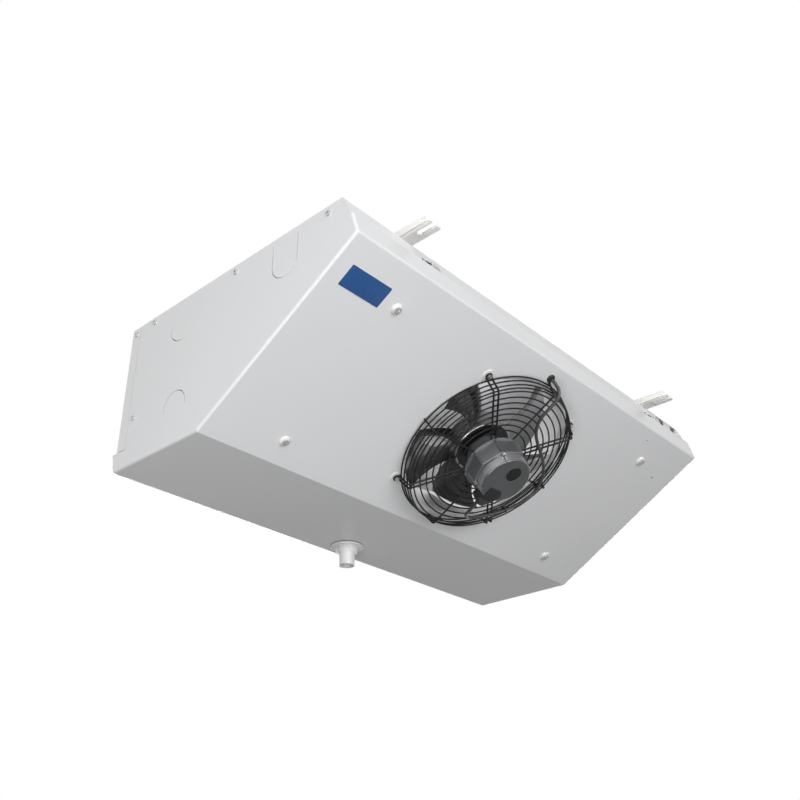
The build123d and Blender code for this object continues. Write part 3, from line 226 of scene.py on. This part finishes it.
def finSkin():
    # thin fins with a rolled ripple along their depth
    look = finMetal
    shade = Skin("fin_aluminium", look["color"], look["roughness"], look["metallic"])
    ripple = shade.node("ShaderNodeTexWave", {"bands_direction": "Y"}, {
        "Vector": shade.place, "Scale": look["rippleScale"], "Distortion": 0.0})
    cloud = shade.ramp(shade.noise(22.0, 4.0), [(0.3, 0.0), (0.7, 1.0)])
    shade.feed("Base Color", shade.blend(look["color"], look["dark"], cloud * 0.5))
    shade.feed("Roughness", look["roughness"] - 0.05 + cloud * 0.12)
    shade.bump(Value(shade, ripple.outputs["Fac"]), 0.3, look["rippleDepth"])
    return shade.material


paint = paintedSheet()
bare = metal("bare_sheet", bareSheet, bareSheet["grain"], 40.0)
zinc = zincSkin()
nozzle = metal("nozzle_grey", nozzleSheet, (1, 1, 3), 30.0)
fins = finSkin()
spun = metal("hub_aluminium", spunMetal, (1, 1, 1), 90.0)
copper = metal("copper", copperTube, (1, 1, 1), 45.0)
screwSkin = metal("screw_steel", screwMetal, (1, 1, 1), 160.0)
pale = coated("white_plastic", whitePlastic, 0.15, 30.0)
black = coated("black_wire", wireCoat, 0.04, 60.0)
hubPaintedShade = coated("hub_painted_shade", hubShadePaint, 0.2, 40.0)
capMetal = metal("cap_side_metal", capSide, (1, 1, 1), 50.0)
outletSkin = coated("outlet_plastic", outletPlastic, 0.0, 40.0)
casting = coated("motor_grey", motorPaint, 0.15, 26.0, 520.0, 0.00012)
capSkin = coated("motor_cap_grey", capPaint, 0.35, 26.0, 420.0, 0.00007)
rubber = coated("black_rubber", rubberSkin, 0.0, 70.0)
leadCover = coated("lead_black", leadSkin, 0.1, 70.0)
blade = coated("black_blade", bladeMetal, 0.6, 20.0)
plastic = coated("box_plastic", boxPlastic, 0.0, 30.0)
steel = metal("machined_steel", turnedSteel, (1, 1, 1), 140.0)
badge = coated("badge_blue", badgeFace, 0.5, 12.0)


def latticeSkin():
    # dark mesh of the port: two crossed sets of bars
    look = portMesh
    shade = Skin("port_mesh", look["color"], look["roughness"], specular=look["specular"])
    bars = []
    for turn in look["turns"]:
        place = shade.node("ShaderNodeMapping", {}, {"Vector": shade.place, "Rotation": (0, 0, turn)})
        wave = shade.node("ShaderNodeTexWave", {"bands_direction": "X"}, {
            "Vector": place.outputs[0], "Scale": look["scale"]})
        bars.append(Value(shade, wave.outputs["Fac"]))
    net = shade.ramp(bars[0] * bars[1], [(0.15, 0.0), (0.6, 1.0)])
    shade.feed("Base Color", shade.blend(look["dark"], look["color"], net))
    shade.bump(net, 0.6, look["depth"])
    return shade.material


lattice = latticeSkin()
print("materials made")

nodeSkins = {
    paint: ["hood_wrap", "left_end_face", "right_end_face", "top_panel", "left_rear_post",
            "right_rear_post"],
    bare: ["left_ceiling_bracket", "right_ceiling_bracket"],
    zinc: ["left_coil_end_plate", "right_coil_end_plate", "left_stiffener", "right_stiffener",
           "guard_motor_ring"],
    nozzle: ["fan_nozzle"],
    fins: ["fin_pack"],
    spun: ["fan_hub"],
    copper: ["coil_tubes", "hairpin_bends", "return_bends", "suction_header", "liquid_distributor",
             "feed_tubes"],
    screwSkin: ["bracket_screws", "post_screws", "side_screws", "panel_screws", "guard_foot_screws",
                "motor_cap_screws"],
    pale: ["panel_washers", "guard_foot_washers", "drain_spigot", "drain_nut"],
    black: ["guard_front_rings", "guard_side_rings", "guard_double_struts", "guard_single_struts"],
    casting: ["motor_body", "motor_stator"],
    capMetal: ["motor_cap"],
    steel: ["motor_shaft", "front_bearing", "rear_bearing", "rotor_core"],
    rubber: ["drain_seal", "port_plug", "panel_grommet", "cable_outlet", "cable_ties"],
    leadCover: ["motor_lead"],
    blade: ["fan_blades"],
    plastic: ["terminal_box", "terminal_box_lid"],
}
for skin, names in nodeSkins.items():
    for name in names:
        mesh = frame["nodes"][name].data
        mesh.materials.clear()
        mesh.materials.append(skin)
bodyOf = {node: body for body, nodes in frame["record"]["behaviour"]["bodies"].items() for node in nodes}


def smoothByAngle(mesh, degrees):
    # faces shade smooth, and edges sharper than the angle stay crisp
    mesh.shade_smooth()
    mesh.set_sharp_from_angle(angle=math.radians(degrees))


def settle(piece, nodes, skin=None):
    # a finished piece takes the given material and the body of the CAD nodes it stands for, and those nodes are
    # hidden
    if skin:
        piece.data.materials.clear()
        piece.data.materials.append(skin)
    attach(piece, bodyOf[nodes[0]])
    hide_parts(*nodes)
    return piece


def newPiece(name, mesh):
    piece = bpy.data.objects.new(name, mesh)
    scene.collection.objects.link(piece)
    return piece


def applied(piece):
    # the piece's modifiers become its plain mesh
    bpy.context.view_layer.update()
    graph = bpy.context.evaluated_depsgraph_get()
    mesh = bpy.data.meshes.new_from_object(piece.evaluated_get(graph))
    piece.modifiers.clear()
    piece.data = mesh
    return piece


def dressedCopy(name, nodes, skin, degrees=32.0, change=None):
    # a smooth-shaded copy of one or more CAD nodes, doubles merged and flats kept flat
    mesh = bpy.data.meshes.new(name)
    work = bmesh.new()
    for node in nodes:
        work.from_mesh(frame["nodes"][node].data)
    bmesh.ops.remove_doubles(work, verts=work.verts, dist=0.000002)
    work.to_mesh(mesh)
    work.free()
    if change:
        mesh.transform(change)
    smoothByAngle(mesh, degrees)
    piece = newPiece(name, mesh)
    weighted = piece.modifiers.new("flats", "WEIGHTED_NORMAL")
    weighted.keep_sharp = True
    applied(piece)
    return settle(piece, nodes, skin)


# CAD nodes with round or bent faces, and the angle past which their edges stay crisp
roundNodes = {
    "fan_nozzle": 40, "drain_spigot": 40, "coil_tubes": 40, "suction_header": 40, "liquid_distributor": 40,
    "panel_grommet": 50, "left_ceiling_bracket": 30, "right_ceiling_bracket": 30, "terminal_box": 30,
    "terminal_box_lid": 30, "motor_stator": 40, "panel_washers": 40, "guard_foot_washers": 40,
    "guard_motor_ring": 40,
}
skinOf = {name: skin for skin, names in nodeSkins.items() for name in names}
for node, degrees in roundNodes.items():
    dressedCopy(node + "_skin", [node], skinOf[node], degrees)
dressedCopy("painted_hood", ["hood_wrap", "left_end_face", "right_end_face"], paint, 30.0)
motorTurn = 22.5  # degrees that lead the body's ridges to the screw wells
bodyTurn = fanFrame @ Matrix.Rotation(math.radians(motorTurn), 4, "Z") @ fanFrame.inverted()
dressedCopy("motor_body_skin", ["motor_body"], casting, 25.0, bodyTurn)
print("smooth skins made")

# Wire guard in round wire, by Geometry Nodes


class Tree:
    # one Geometry Nodes tree with named inputs
    def __init__(self, name):
        self.tree = bpy.data.node_groups.new(name, "GeometryNodeTree")
        self.tree.interface.new_socket("Geometry", in_out="INPUT", socket_type="NodeSocketGeometry")
        self.tree.interface.new_socket("Geometry", in_out="OUTPUT", socket_type="NodeSocketGeometry")
        self.source = self.tree.nodes.new("NodeGroupInput")
        self.result = self.tree.nodes.new("NodeGroupOutput")
        self.inputs = {}

    def input(self, name, kind, value=None):
        socket = self.tree.interface.new_socket(name, in_out="INPUT", socket_type="NodeSocket" + kind)
        self.inputs[name] = (socket.identifier, value)
        return self.source.outputs[name]

    def node(self, kind, settings=None, sockets=None):
        made = self.tree.nodes.new(kind)
        for key, value in (settings or {}).items():
            setattr(made, key, value)
        for key, value in (sockets or {}).items():
            if isinstance(value, bpy.types.NodeSocket):
                self.tree.links.new(value, made.inputs[key])
            else:
                made.inputs[key].default_value = value
        return made

    def finish(self, geometry, material):
        real = self.node("GeometryNodeRealizeInstances", {}, {"Geometry": geometry})
        skinned = self.node("GeometryNodeSetMaterial", {}, {
            "Geometry": real.outputs[0], "Material": self.input("Material", "Material", material)})
        self.tree.links.new(skinned.outputs[0], self.result.inputs[0])

    def grow(self, name, mesh=None):
        # runs the tree on a new piece and keeps only the plain mesh
        piece = newPiece(name, mesh or bpy.data.meshes.new(name))
        modifier = piece.modifiers.new(self.tree.name, "NODES")
        modifier.node_group = self.tree
        for identifier, value in self.inputs.values():
            if value is not None:
                modifier[identifier] = value
        return applied(piece)

    def turnedCopies(self, geometry, copies, startAngle):
        # the same shape repeated about Z
        count = self.input("Count", "Int", copies)
        spots = self.node("GeometryNodeMeshLine", {}, {"Count": count, "Offset": (0, 0, 0)})
        index = self.node("GeometryNodeInputIndex")
        share = self.node("ShaderNodeMath", {"operation": "DIVIDE"}, {0: index.outputs[0], 1: count})
        angle = self.node("ShaderNodeMath", {"operation": "MULTIPLY_ADD"}, {
            0: share.outputs[0], 1: 2 * math.pi, 2: self.input("Start angle", "Float", startAngle)})
        turn = self.node("ShaderNodeCombineXYZ", {}, {2: angle.outputs[0]})
        return self.node("GeometryNodeInstanceOnPoints", {}, {
            "Points": spots.outputs[0], "Instance": geometry, "Rotation": turn.outputs[0]}).outputs[0]


# side rings: radius and level in mm
guard = dict(wire=2.3 * mm, strut=3.0 * mm, ringStart=56 * mm, ringPitch=10 * mm, ringCount=8,
             bendRing=132 * mm, ringLevel=24.4 * mm, sides=10, ringSteps=144,
             sideRings=((137.42, 4.0), (135.70, 11.5), (133.97, 19.0)))


def wireRings(name, radii, levels, material):
    # rings of wire about Z: one point for each ring, with its radius and level
    tree = Tree(name)
    wire = tree.input("Wire radius", "Float", guard["wire"] / 2)
    steps = tree.input("Steps", "Int", guard["ringSteps"])
    sides = tree.input("Sides", "Int", guard["sides"])
    size = tree.node("GeometryNodeInputNamedAttribute", {"data_type": "FLOAT"}, {"Name": "ringRadius"})
    scale = tree.node("ShaderNodeCombineXYZ", {}, {0: size.outputs[0], 1: size.outputs[0], 2: 1.0})
    loop = tree.node("GeometryNodeCurvePrimitiveCircle", {}, {"Resolution": steps, "Radius": 1.0})
    placed = tree.node("GeometryNodeInstanceOnPoints", {}, {
        "Points": tree.source.outputs[0], "Instance": loop.outputs[0], "Scale": scale.outputs[0]})
    real = tree.node("GeometryNodeRealizeInstances", {}, {"Geometry": placed.outputs[0]})
    section = tree.node("GeometryNodeCurvePrimitiveCircle", {}, {"Resolution": sides, "Radius": wire})
    tube = tree.node("GeometryNodeCurveToMesh", {}, {
        "Curve": real.outputs[0], "Profile Curve": section.outputs[0]})
    tree.finish(tube.outputs[0], material)
    mesh = bpy.data.meshes.new(name)
    mesh.from_pydata([(0, 0, level) for level in levels], [], [])
    mesh.attributes.new("ringRadius", "FLOAT", "POINT").data.foreach_set("value", radii)
    piece = tree.grow(name, mesh)
    piece.data.transform(fanFrame)
    smoothByAngle(piece.data, 80)
    return piece


ringRadii = [guard["ringStart"] + guard["ringPitch"] * i for i in range(guard["ringCount"])]
ringRadii.append(guard["bendRing"])
ringLevels = [guard["ringLevel"]] * len(ringRadii)
settle(wireRings("guard_rings", ringRadii, ringLevels, black), ["guard_front_rings"])
settle(wireRings("guard_side_wires", [r * mm for r, h in guard["sideRings"]],
                 [h * mm for r, h in guard["sideRings"]], black), ["guard_side_rings"])


def bentWires(name, points, bendRadius, turns, startAngle, material):
    # a bent wire, repeated about Z
    tree = Tree(name)
    wire = tree.input("Wire radius", "Float", guard["strut"] / 2)
    bend = tree.input("Bend radius", "Float", bendRadius)
    path = tree.node("GeometryNodeMeshToCurve", {}, {"Mesh": tree.source.outputs[0]})
    bent = tree.node("GeometryNodeFilletCurve", {"mode": "POLY"}, {
        "Curve": path.outputs[0], "Count": 6, "Radius": bend, "Limit Radius": True})
    section = tree.node("GeometryNodeCurvePrimitiveCircle", {}, {
        "Resolution": guard["sides"], "Radius": wire})
    tube = tree.node("GeometryNodeCurveToMesh", {}, {
        "Curve": bent.outputs[0], "Profile Curve": section.outputs[0], "Fill Caps": True})
    tree.finish(tree.turnedCopies(tube.outputs[0], turns, startAngle), material)
    mesh = bpy.data.meshes.new(name)
    mesh.from_pydata(points, [(i, i + 1) for i in range(len(points) - 1)], [])
    piece = tree.grow(name, mesh)
    piece.data.transform(fanFrame)
    smoothByAngle(piece.data, 60)
    return piece


strutPath = dict(inner=36 * mm, bend=134.8 * mm, base=141 * mm, loopEnd=148.3 * mm, half=3.8 * mm,
                 level=27 * mm, foot=3 * mm, singleShort=0.6 * mm, doubleBend=3.6 * mm, singleBend=4 * mm,
                 count=4, doubleStart=45)


def guardStruts():
    p = strutPath
    upper = [(p["inner"], p["level"]), (p["bend"], p["level"])]
    side = [*upper, (p["base"], p["foot"]), (p["loopEnd"], p["foot"])]
    double = [(x, p["half"], z) for x, z in side] + [(x, -p["half"], z) for x, z in reversed(side)]
    single = [(x, 0, z) for x, z in upper] + [(p["base"] - p["singleShort"], 0, p["foot"])]
    settle(bentWires("guard_foot_struts", double, p["doubleBend"], p["count"],
                     math.radians(p["doubleStart"]), black), ["guard_double_struts"])
    settle(bentWires("guard_cross_struts", single, p["singleBend"], p["count"], 0.0, black),
           ["guard_single_struts"])


guardStruts()
print("guard made")

# Fan rotor in mm and degrees; each station is radius, chord, pitch, camber and sweep back
bladeShape = dict(stations=((44.3, 44, 43, 3.0, -4.0), (84.0, 60, 40, 4.5, 0.0), (124.5, 78, 37, 5.0, 10.0)),
                  count=5, middle=-24.0, thick=1.8, across=16, rows=14)


def blendedStation(radius):
    # chord, pitch, camber and sweep on the curve through the stations
    stations = bladeShape["stations"]
    blended = []
    for index in range(1, 5):
        total = 0
        for one in stations:
            share = one[index]
            for other in stations:
                if other is not one:
                    share *= (radius - other[0]) / (one[0] - other[0])
            total += share
        blended.append(total)
    return blended


def bladeSection(radius):
    # points of one section, wrapped round the axis
    b = bladeShape
    chord, pitch, camber, back = blendedStation(radius)
    cosine, sine = math.cos(math.radians(pitch)), math.sin(math.radians(pitch))
    points = []
    for side in (1, -1):
        for k in range(b["across"]):
            run = side * (k / b["across"] - 0.5)
            rise = (1 - 4 * run * run) * (camber + side * b["thick"] / 2)
            x = run * chord * cosine - rise * sine
            level = run * chord * sine + rise * cosine + b["middle"]
            angle = math.radians(back) + x / radius
            points.append((radius * math.cos(angle) * mm, radius * math.sin(angle) * mm, level * mm))
    return points


def loftedMesh(name, sections, closed=False):
    # a skin through rings of points, ended by flat faces unless it closes on itself
    work = bmesh.new()
    rings = [[work.verts.new(point) for point in section] for section in sections]
    follow = rings[1:] + rings[:1] if closed else rings[1:]
    for first, second in zip(rings, follow):
        for k in range(len(first)):
            j = (k + 1) % len(first)
            work.faces.new((first[k], first[j], second[j], second[k]))
    if not closed:
        work.faces.new(rings[0])
        work.faces.new(rings[-1])
    bmesh.ops.recalc_face_normals(work, faces=work.faces)
    mesh = bpy.data.meshes.new(name)
    work.to_mesh(mesh)
    work.free()
    return mesh


def turnedBlades():
    b = bladeShape
    inner, outer = b["stations"][0][0], b["stations"][-1][0]
    radii = [inner + (outer - inner) * step / (b["rows"] - 1) for step in range(b["rows"])]
    tree = Tree("turned_blades")
    tree.finish(tree.turnedCopies(tree.source.outputs[0], b["count"], 0.0), blade)
    piece = tree.grow("fan_blades_twisted", loftedMesh("blade", [bladeSection(r) for r in radii]))
    piece.data.transform(fanFrame)
    smoothByAngle(piece.data, 50)
    settle(piece, ["fan_blades"])


def lathe(name, outline, skin, middle=(0, 0), steps=96, degrees=35):
    # an outline of (radius, level) in mm turned about the fan's axis, or about one beside it
    sections = []
    for k in range(steps):
        a = 2 * math.pi * k / steps
        sections.append([((middle[0] + r * math.cos(a)) * mm, (middle[1] + r * math.sin(a)) * mm, h * mm)
                         for r, h in outline])
    mesh = loftedMesh(name, sections, True)
    mesh.transform(fanFrame)
    smoothByAngle(mesh, degrees)
    mesh.materials.append(skin)
    return newPiece(name, mesh)


def added(piece, body):
    # a piece that stands for no CAD node of its own
    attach(piece, body)


# Polished hub cup with a rolled rim, and a near-black disc set on its floor as painted shade for the shadow under
# the motor
hubCup = dict(radius=45.0, top=-6.0, bottom=-38.0, wall=2.4, dish=2.2, plate=2.0, bore=4.2,
              rim=((2.4, 0.8), (1.7, 0.1), (0.8, 0.1), (0.0, 0.9)), faceLow=0.05, faceHigh=0.5, faceGap=0.1)


def hub():
    c = hubCup
    floor = c["top"] - c["dish"]
    inner = c["radius"] - c["wall"]
    rim = [(c["radius"] - inset, c["top"] - drop) for inset, drop in c["rim"]]
    cup = [(c["bore"], floor - c["plate"]), (c["bore"], floor), (inner, floor), *rim,
           (c["radius"], c["bottom"]), (inner, c["bottom"]), (inner, floor - c["plate"])]
    settle(lathe("hub_cup", cup, spun), ["fan_hub"])
    low, high, edge = floor + c["faceLow"], floor + c["faceHigh"], inner - c["faceGap"]
    face = [(c["bore"], low), (c["bore"], high), (edge, high), (edge, low)]
    # painted shade: this near-black disc on the cup's floor stands for the shade between the rim and the motor
    added(lathe("hub_shade_disc", face, hubPaintedShade), "fan_rotor")


turnedBlades()
hub()

# Motor end: dark front on the pale cap, and the port's mesh and rim on it
capEnd = dict(top=73.0, edge=70.4, port=(1.0, 14.5), portRadius=13.0, rim=0.7, portSteps=64,
              meshLevels=(0.05, 0.12), meshGap=0.3, meshBore=0.01, rimLevels=(0.05, 0.4, 0.6))


def motorEnd():
    c = capEnd
    cap = dressedCopy("motor_cap_skin", ["motor_cap"], capMetal, 40)
    cap.data.materials.append(capSkin)
    toFan = fanFrame.inverted()
    for face in cap.data.polygons:
        face.material_index = 1 if (toFan @ face.center).z > c["edge"] * mm else 0
    low, high = [c["top"] + level for level in c["meshLevels"]]
    edge = c["portRadius"] - c["meshGap"]
    net = [(c["meshBore"], low), (c["meshBore"], high), (edge, high), (edge, low)]
    settle(lathe("port_mesh", net, lattice, c["port"], c["portSteps"]), ["port_plug"])
    low, side, high = [c["top"] + level for level in c["rimLevels"]]
    inner, outer = c["portRadius"] - c["rim"] / 2, c["portRadius"] + c["rim"] / 2
    rim = [(inner, low), (inner, side), (c["portRadius"], high), (outer, side), (outer, low)]
    added(lathe("port_rim", rim, casting, c["port"], c["portSteps"]), "hood")


motorEnd()

# Cable outlet in mm: left and right edge in plan, top and bottom level of each section, cap to lead
outletShape = dict(round=0.8, sections=(
    ((-13, -20), (9, -19), 75.2, 72.9), ((-14, -33), (14, -28), 75.2, 72.9), ((-12, -41), (7, -42), 74.2, 50),
    ((-3, -51), (18, -60.5), 57, 42), ((-1, -54), (18, -64), 50, 42)))


def outlet():
    rings = []
    for left, right, top, low in outletShape["sections"]:
        corners = ((left, low), (left, top), (right, top), (right, low))
        rings.append([(u * mm, v * mm, level * mm) for (u, v), level in corners])
    mesh = loftedMesh("cable_outlet_box", rings)
    work = bmesh.new()
    work.from_mesh(mesh)
    bmesh.ops.bevel(work, geom=work.edges[:], offset=outletShape["round"] * mm, segments=2, profile=0.5,
                    affect="EDGES", clamp_overlap=True)
    work.to_mesh(mesh)
    work.free()
    mesh.transform(fanFrame)
    smoothByAngle(mesh, 40)
    settle(newPiece("cable_outlet_box", mesh), ["cable_outlet"], outletSkin)


outlet()
print("rotor and motor end made")

# Motor lead, on the same listed points as the CAD tube
leadPath = dict(radius=2.5 * mm, points=(
    (-1.0, 147.0, 3.0), (0.5, 147.0, 12.0), (6.5, 144.0, 21.0), (9.0, 134.5, 29.0), (7.0, 119.0, 31.4),
    (6.5, 101.0, 31.2), (14.0, 81.0, 31.4), (31.0, 66.0, 31.2), (54.0, 54.0, 31.4), (78.0, 42.0, 31.2),
    (99.0, 26.0, 31.4), (113.0, 7.0, 31.2), (118.0, -14.0, 31.4), (113.0, -37.0, 31.2), (99.0, -60.0, 31.4),
    (78.0, -80.0, 31.2), (57.0, -94.0, 31.6), (41.0, -99.0, 33.0), (28.0, -94.5, 37.0), (21.0, -83.0, 43.0),
    (16.2, -70.15, 47.0), (13.95, -60.41, 47.0)))


def motorLead():
    curve = bpy.data.curves.new("motor_lead_cable", "CURVE")
    curve.dimensions = "3D"
    curve.bevel_depth = leadPath["radius"]
    curve.bevel_resolution = 4
    spline = curve.splines.new("NURBS")
    spline.points.add(len(leadPath["points"]) - 1)
    for point, place in zip(spline.points, leadPath["points"]):
        point.co = (*(fanFrame @ (Vector(place) * mm)), 1)
    spline.order_u = 3
    spline.use_endpoint_u = True
    spline.resolution_u = 8
    curve.use_fill_caps = True
    piece = newPiece("motor_lead_cable", curve)
    curve.materials.append(leadCover)
    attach(piece, "hood")
    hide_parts("motor_lead")


motorLead()

# Fins: one thin plate repeated along the coil
finStack = dict(pitch=4.0 * mm, thickness=0.35 * mm)


def finnedBlock():
    low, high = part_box("fin_pack")
    span = high.x - low.x
    tree = Tree("fin_plates")
    pitch = tree.input("Pitch", "Float", finStack["pitch"])
    thickness = tree.input("Thickness", "Float", finStack["thickness"])
    count = tree.input("Count", "Int", int(span / finStack["pitch"]))
    step = tree.node("ShaderNodeCombineXYZ", {}, {0: pitch})
    start = (low.x + finStack["thickness"], (low.y + high.y) / 2, (low.z + high.z) / 2)
    line = tree.node("GeometryNodeMeshLine", {}, {
        "Count": count, "Start Location": start, "Offset": step.outputs[0]})
    size = tree.node("ShaderNodeCombineXYZ", {}, {0: thickness, 1: high.y - low.y, 2: high.z - low.z})
    plate = tree.node("GeometryNodeMeshCube", {}, {"Size": size.outputs[0]})
    placed = tree.node("GeometryNodeInstanceOnPoints", {}, {
        "Points": line.outputs[0], "Instance": plate.outputs[0]})
    tree.finish(placed.outputs[0], fins)
    settle(tree.grow("coil_fins"), ["fin_pack"])


finnedBlock()
print("coil fins made")

# Badge plate: a plain blue plate where the photograph has one
badgePlate = dict(length=69 * mm, height=31 * mm, thick=0.6 * mm, corner=1.5 * mm,
                  middle=(-364.5 * mm, 116.5 * mm))


def plainBadge():
    b = badgePlate
    work = bmesh.new()
    bmesh.ops.create_cube(work, size=1.0)
    for vert in work.verts:
        vert.co = Vector((vert.co.x * b["length"], vert.co.y * b["height"], (vert.co.z + 0.5) * b["thick"]))
    upright = [e for e in work.edges if abs(e.verts[0].co.z - e.verts[1].co.z) > b["thick"] / 2]
    bmesh.ops.bevel(work, geom=upright, offset=b["corner"], segments=4, profile=0.5, affect="EDGES")
    rim = [e for e in work.edges if min(v.co.z for v in e.verts) > b["thick"] * 0.9]
    bmesh.ops.bevel(work, geom=rim, offset=b["thick"] * 0.4, segments=2, profile=0.5, affect="EDGES")
    mesh = bpy.data.meshes.new("badge_plate")
    work.to_mesh(mesh)
    work.free()
    mesh.transform(fanFrame @ Matrix.Translation((*b["middle"], 0)))
    mesh.materials.append(badge)
    smoothByAngle(mesh, 40)
    added(newPiece("badge_plate", mesh), "hood")


plainBadge()
print("badge made")

# Camera at the photograph's angle
view = dict(place=(-1.05939, -0.88708, -0.80580), turn=(117.0975, -0.1613, -47.0725), lens=43.646,
            sensor=36, shift=(0.0206, 0.04186), farEnd=50)


def photographView():
    camera = bpy.data.objects.new("camera", bpy.data.cameras.new("camera"))
    camera.location = view["place"]
    camera.rotation_euler = Euler([math.radians(a) for a in view["turn"]])
    camera.data.lens = view["lens"]
    camera.data.sensor_width = view["sensor"]
    camera.data.shift_x, camera.data.shift_y = view["shift"]
    camera.data.clip_end = view["farEnd"]
    scene.collection.objects.link(camera)
    scene.camera = camera


photographView()

# Lamps: place, aim, width and power; the first five light the sides that the photograph shows
lamps = {
    "key_lamp": ((-2.6, -1.8, 0.9), (0, 0, -0.1), 1.6, 20),
    "side_lamp": ((-2.8, -0.6, 0.2), (0, 0, -0.1), 1.6, 22.5),
    "level_lamp": ((-0.6, -2.4, -0.3), (0, 0, -0.1), 1.4, 28.5),
    "front_lamp": ((-1.5, -2.8, -1.4), (0, 0, -0.1), 1.8, 22.5),
    "low_lamp": ((-1.3, -0.6, -1.5), (0, 0, -0.1), 1.0, 11.5),
    "back_lamp": ((1.2, 3.0, 0.5), (0, 0.2, -0.1), 2.0, 60),
    "right_lamp": ((3.0, 0.8, 0.3), (0.4, 0, -0.1), 1.8, 45),
}
# a small fill lamp behind the fan's hub, for the bright inside seen between the blades
chamberLight = dict(place=(0.030, -0.045, -0.108), radius=0.03, power=0.28)


def hungLamp(name, kind, place, power):
    lamp = bpy.data.lights.new(name, kind)
    lamp.energy = power
    holder = bpy.data.objects.new(name, lamp)
    holder.location = place
    scene.collection.objects.link(holder)
    return lamp, holder


for name, (place, aim, size, power) in lamps.items():
    lamp, holder = hungLamp(name, "AREA", place, power)
    lamp.shape = "DISK"
    lamp.size = size
    holder.rotation_euler = (Vector(aim) - Vector(place)).to_track_quat("-Z", "Y").to_euler()
lamp, holder = hungLamp("chamber_lamp", "POINT", chamberLight["place"], chamberLight["power"])
lamp.shadow_soft_size = chamberLight["radius"]

# Pale floor and white surroundings
studio = dict(floorDrop=-2.2, floorSize=14.0, floorColor=0.12, floorGlow=0.93, glowSeen=0.85,
              glowMirrored=0.5, worldLevel=0.02)


def paleFloor():
    half = studio["floorSize"] / 2
    drop = studio["floorDrop"]
    mesh = bpy.data.meshes.new("floor")
    mesh.from_pydata([(-half, -half, drop), (half, -half, drop), (half, half, drop), (-half, half, drop)],
                     [], [(0, 1, 2, 3)])
    floor = newPiece("floor", mesh)
    skin = Skin("floor_pale", (studio["floorColor"],) * 3, 0.9, specular=0.0)
    path = skin.node("ShaderNodeLightPath").outputs
    seen = (Value(skin, path["Is Camera Ray"]) * studio["glowSeen"]
            + Value(skin, path["Is Glossy Ray"]) * studio["glowMirrored"])
    glow = skin.node("ShaderNodeEmission", {}, {"Color": (*(studio["floorGlow"],) * 3, 1), "Strength": 1.0})
    both = skin.node("ShaderNodeMixShader", {}, {0: seen, 1: skin.shader.outputs[0], 2: glow.outputs[0]})
    skin.tree.links.new(both.outputs[0], skin.output.inputs["Surface"])
    mesh.materials.append(skin.material)


def whiteWorld():
    # white to the camera, in reflections and through glass, and faint as a light
    world = bpy.data.worlds.new("studio")
    scene.world = world
    world.use_nodes = True
    shade = Shade(world.node_tree)
    path = shade.node("ShaderNodeLightPath").outputs
    bright = path["Is Camera Ray"]
    for ray in ("Is Glossy Ray", "Is Transmission Ray"):
        bright = shade.node("ShaderNodeMath", {"operation": "MAXIMUM"}, {0: bright, 1: path[ray]}).outputs[0]
    soft, white = [shade.node("ShaderNodeBackground", {}, {"Color": (1, 1, 1, 1), "Strength": level})
                   for level in (studio["worldLevel"], 1.0)]
    mixed = shade.node("ShaderNodeMixShader", {}, {0: bright, 1: soft.outputs[0], 2: white.outputs[0]})
    shade.node("ShaderNodeOutputWorld", {}, {0: mixed.outputs[0]})


paleFloor()
whiteWorld()
scene.view_settings.view_transform = "Standard"
print("studio made")
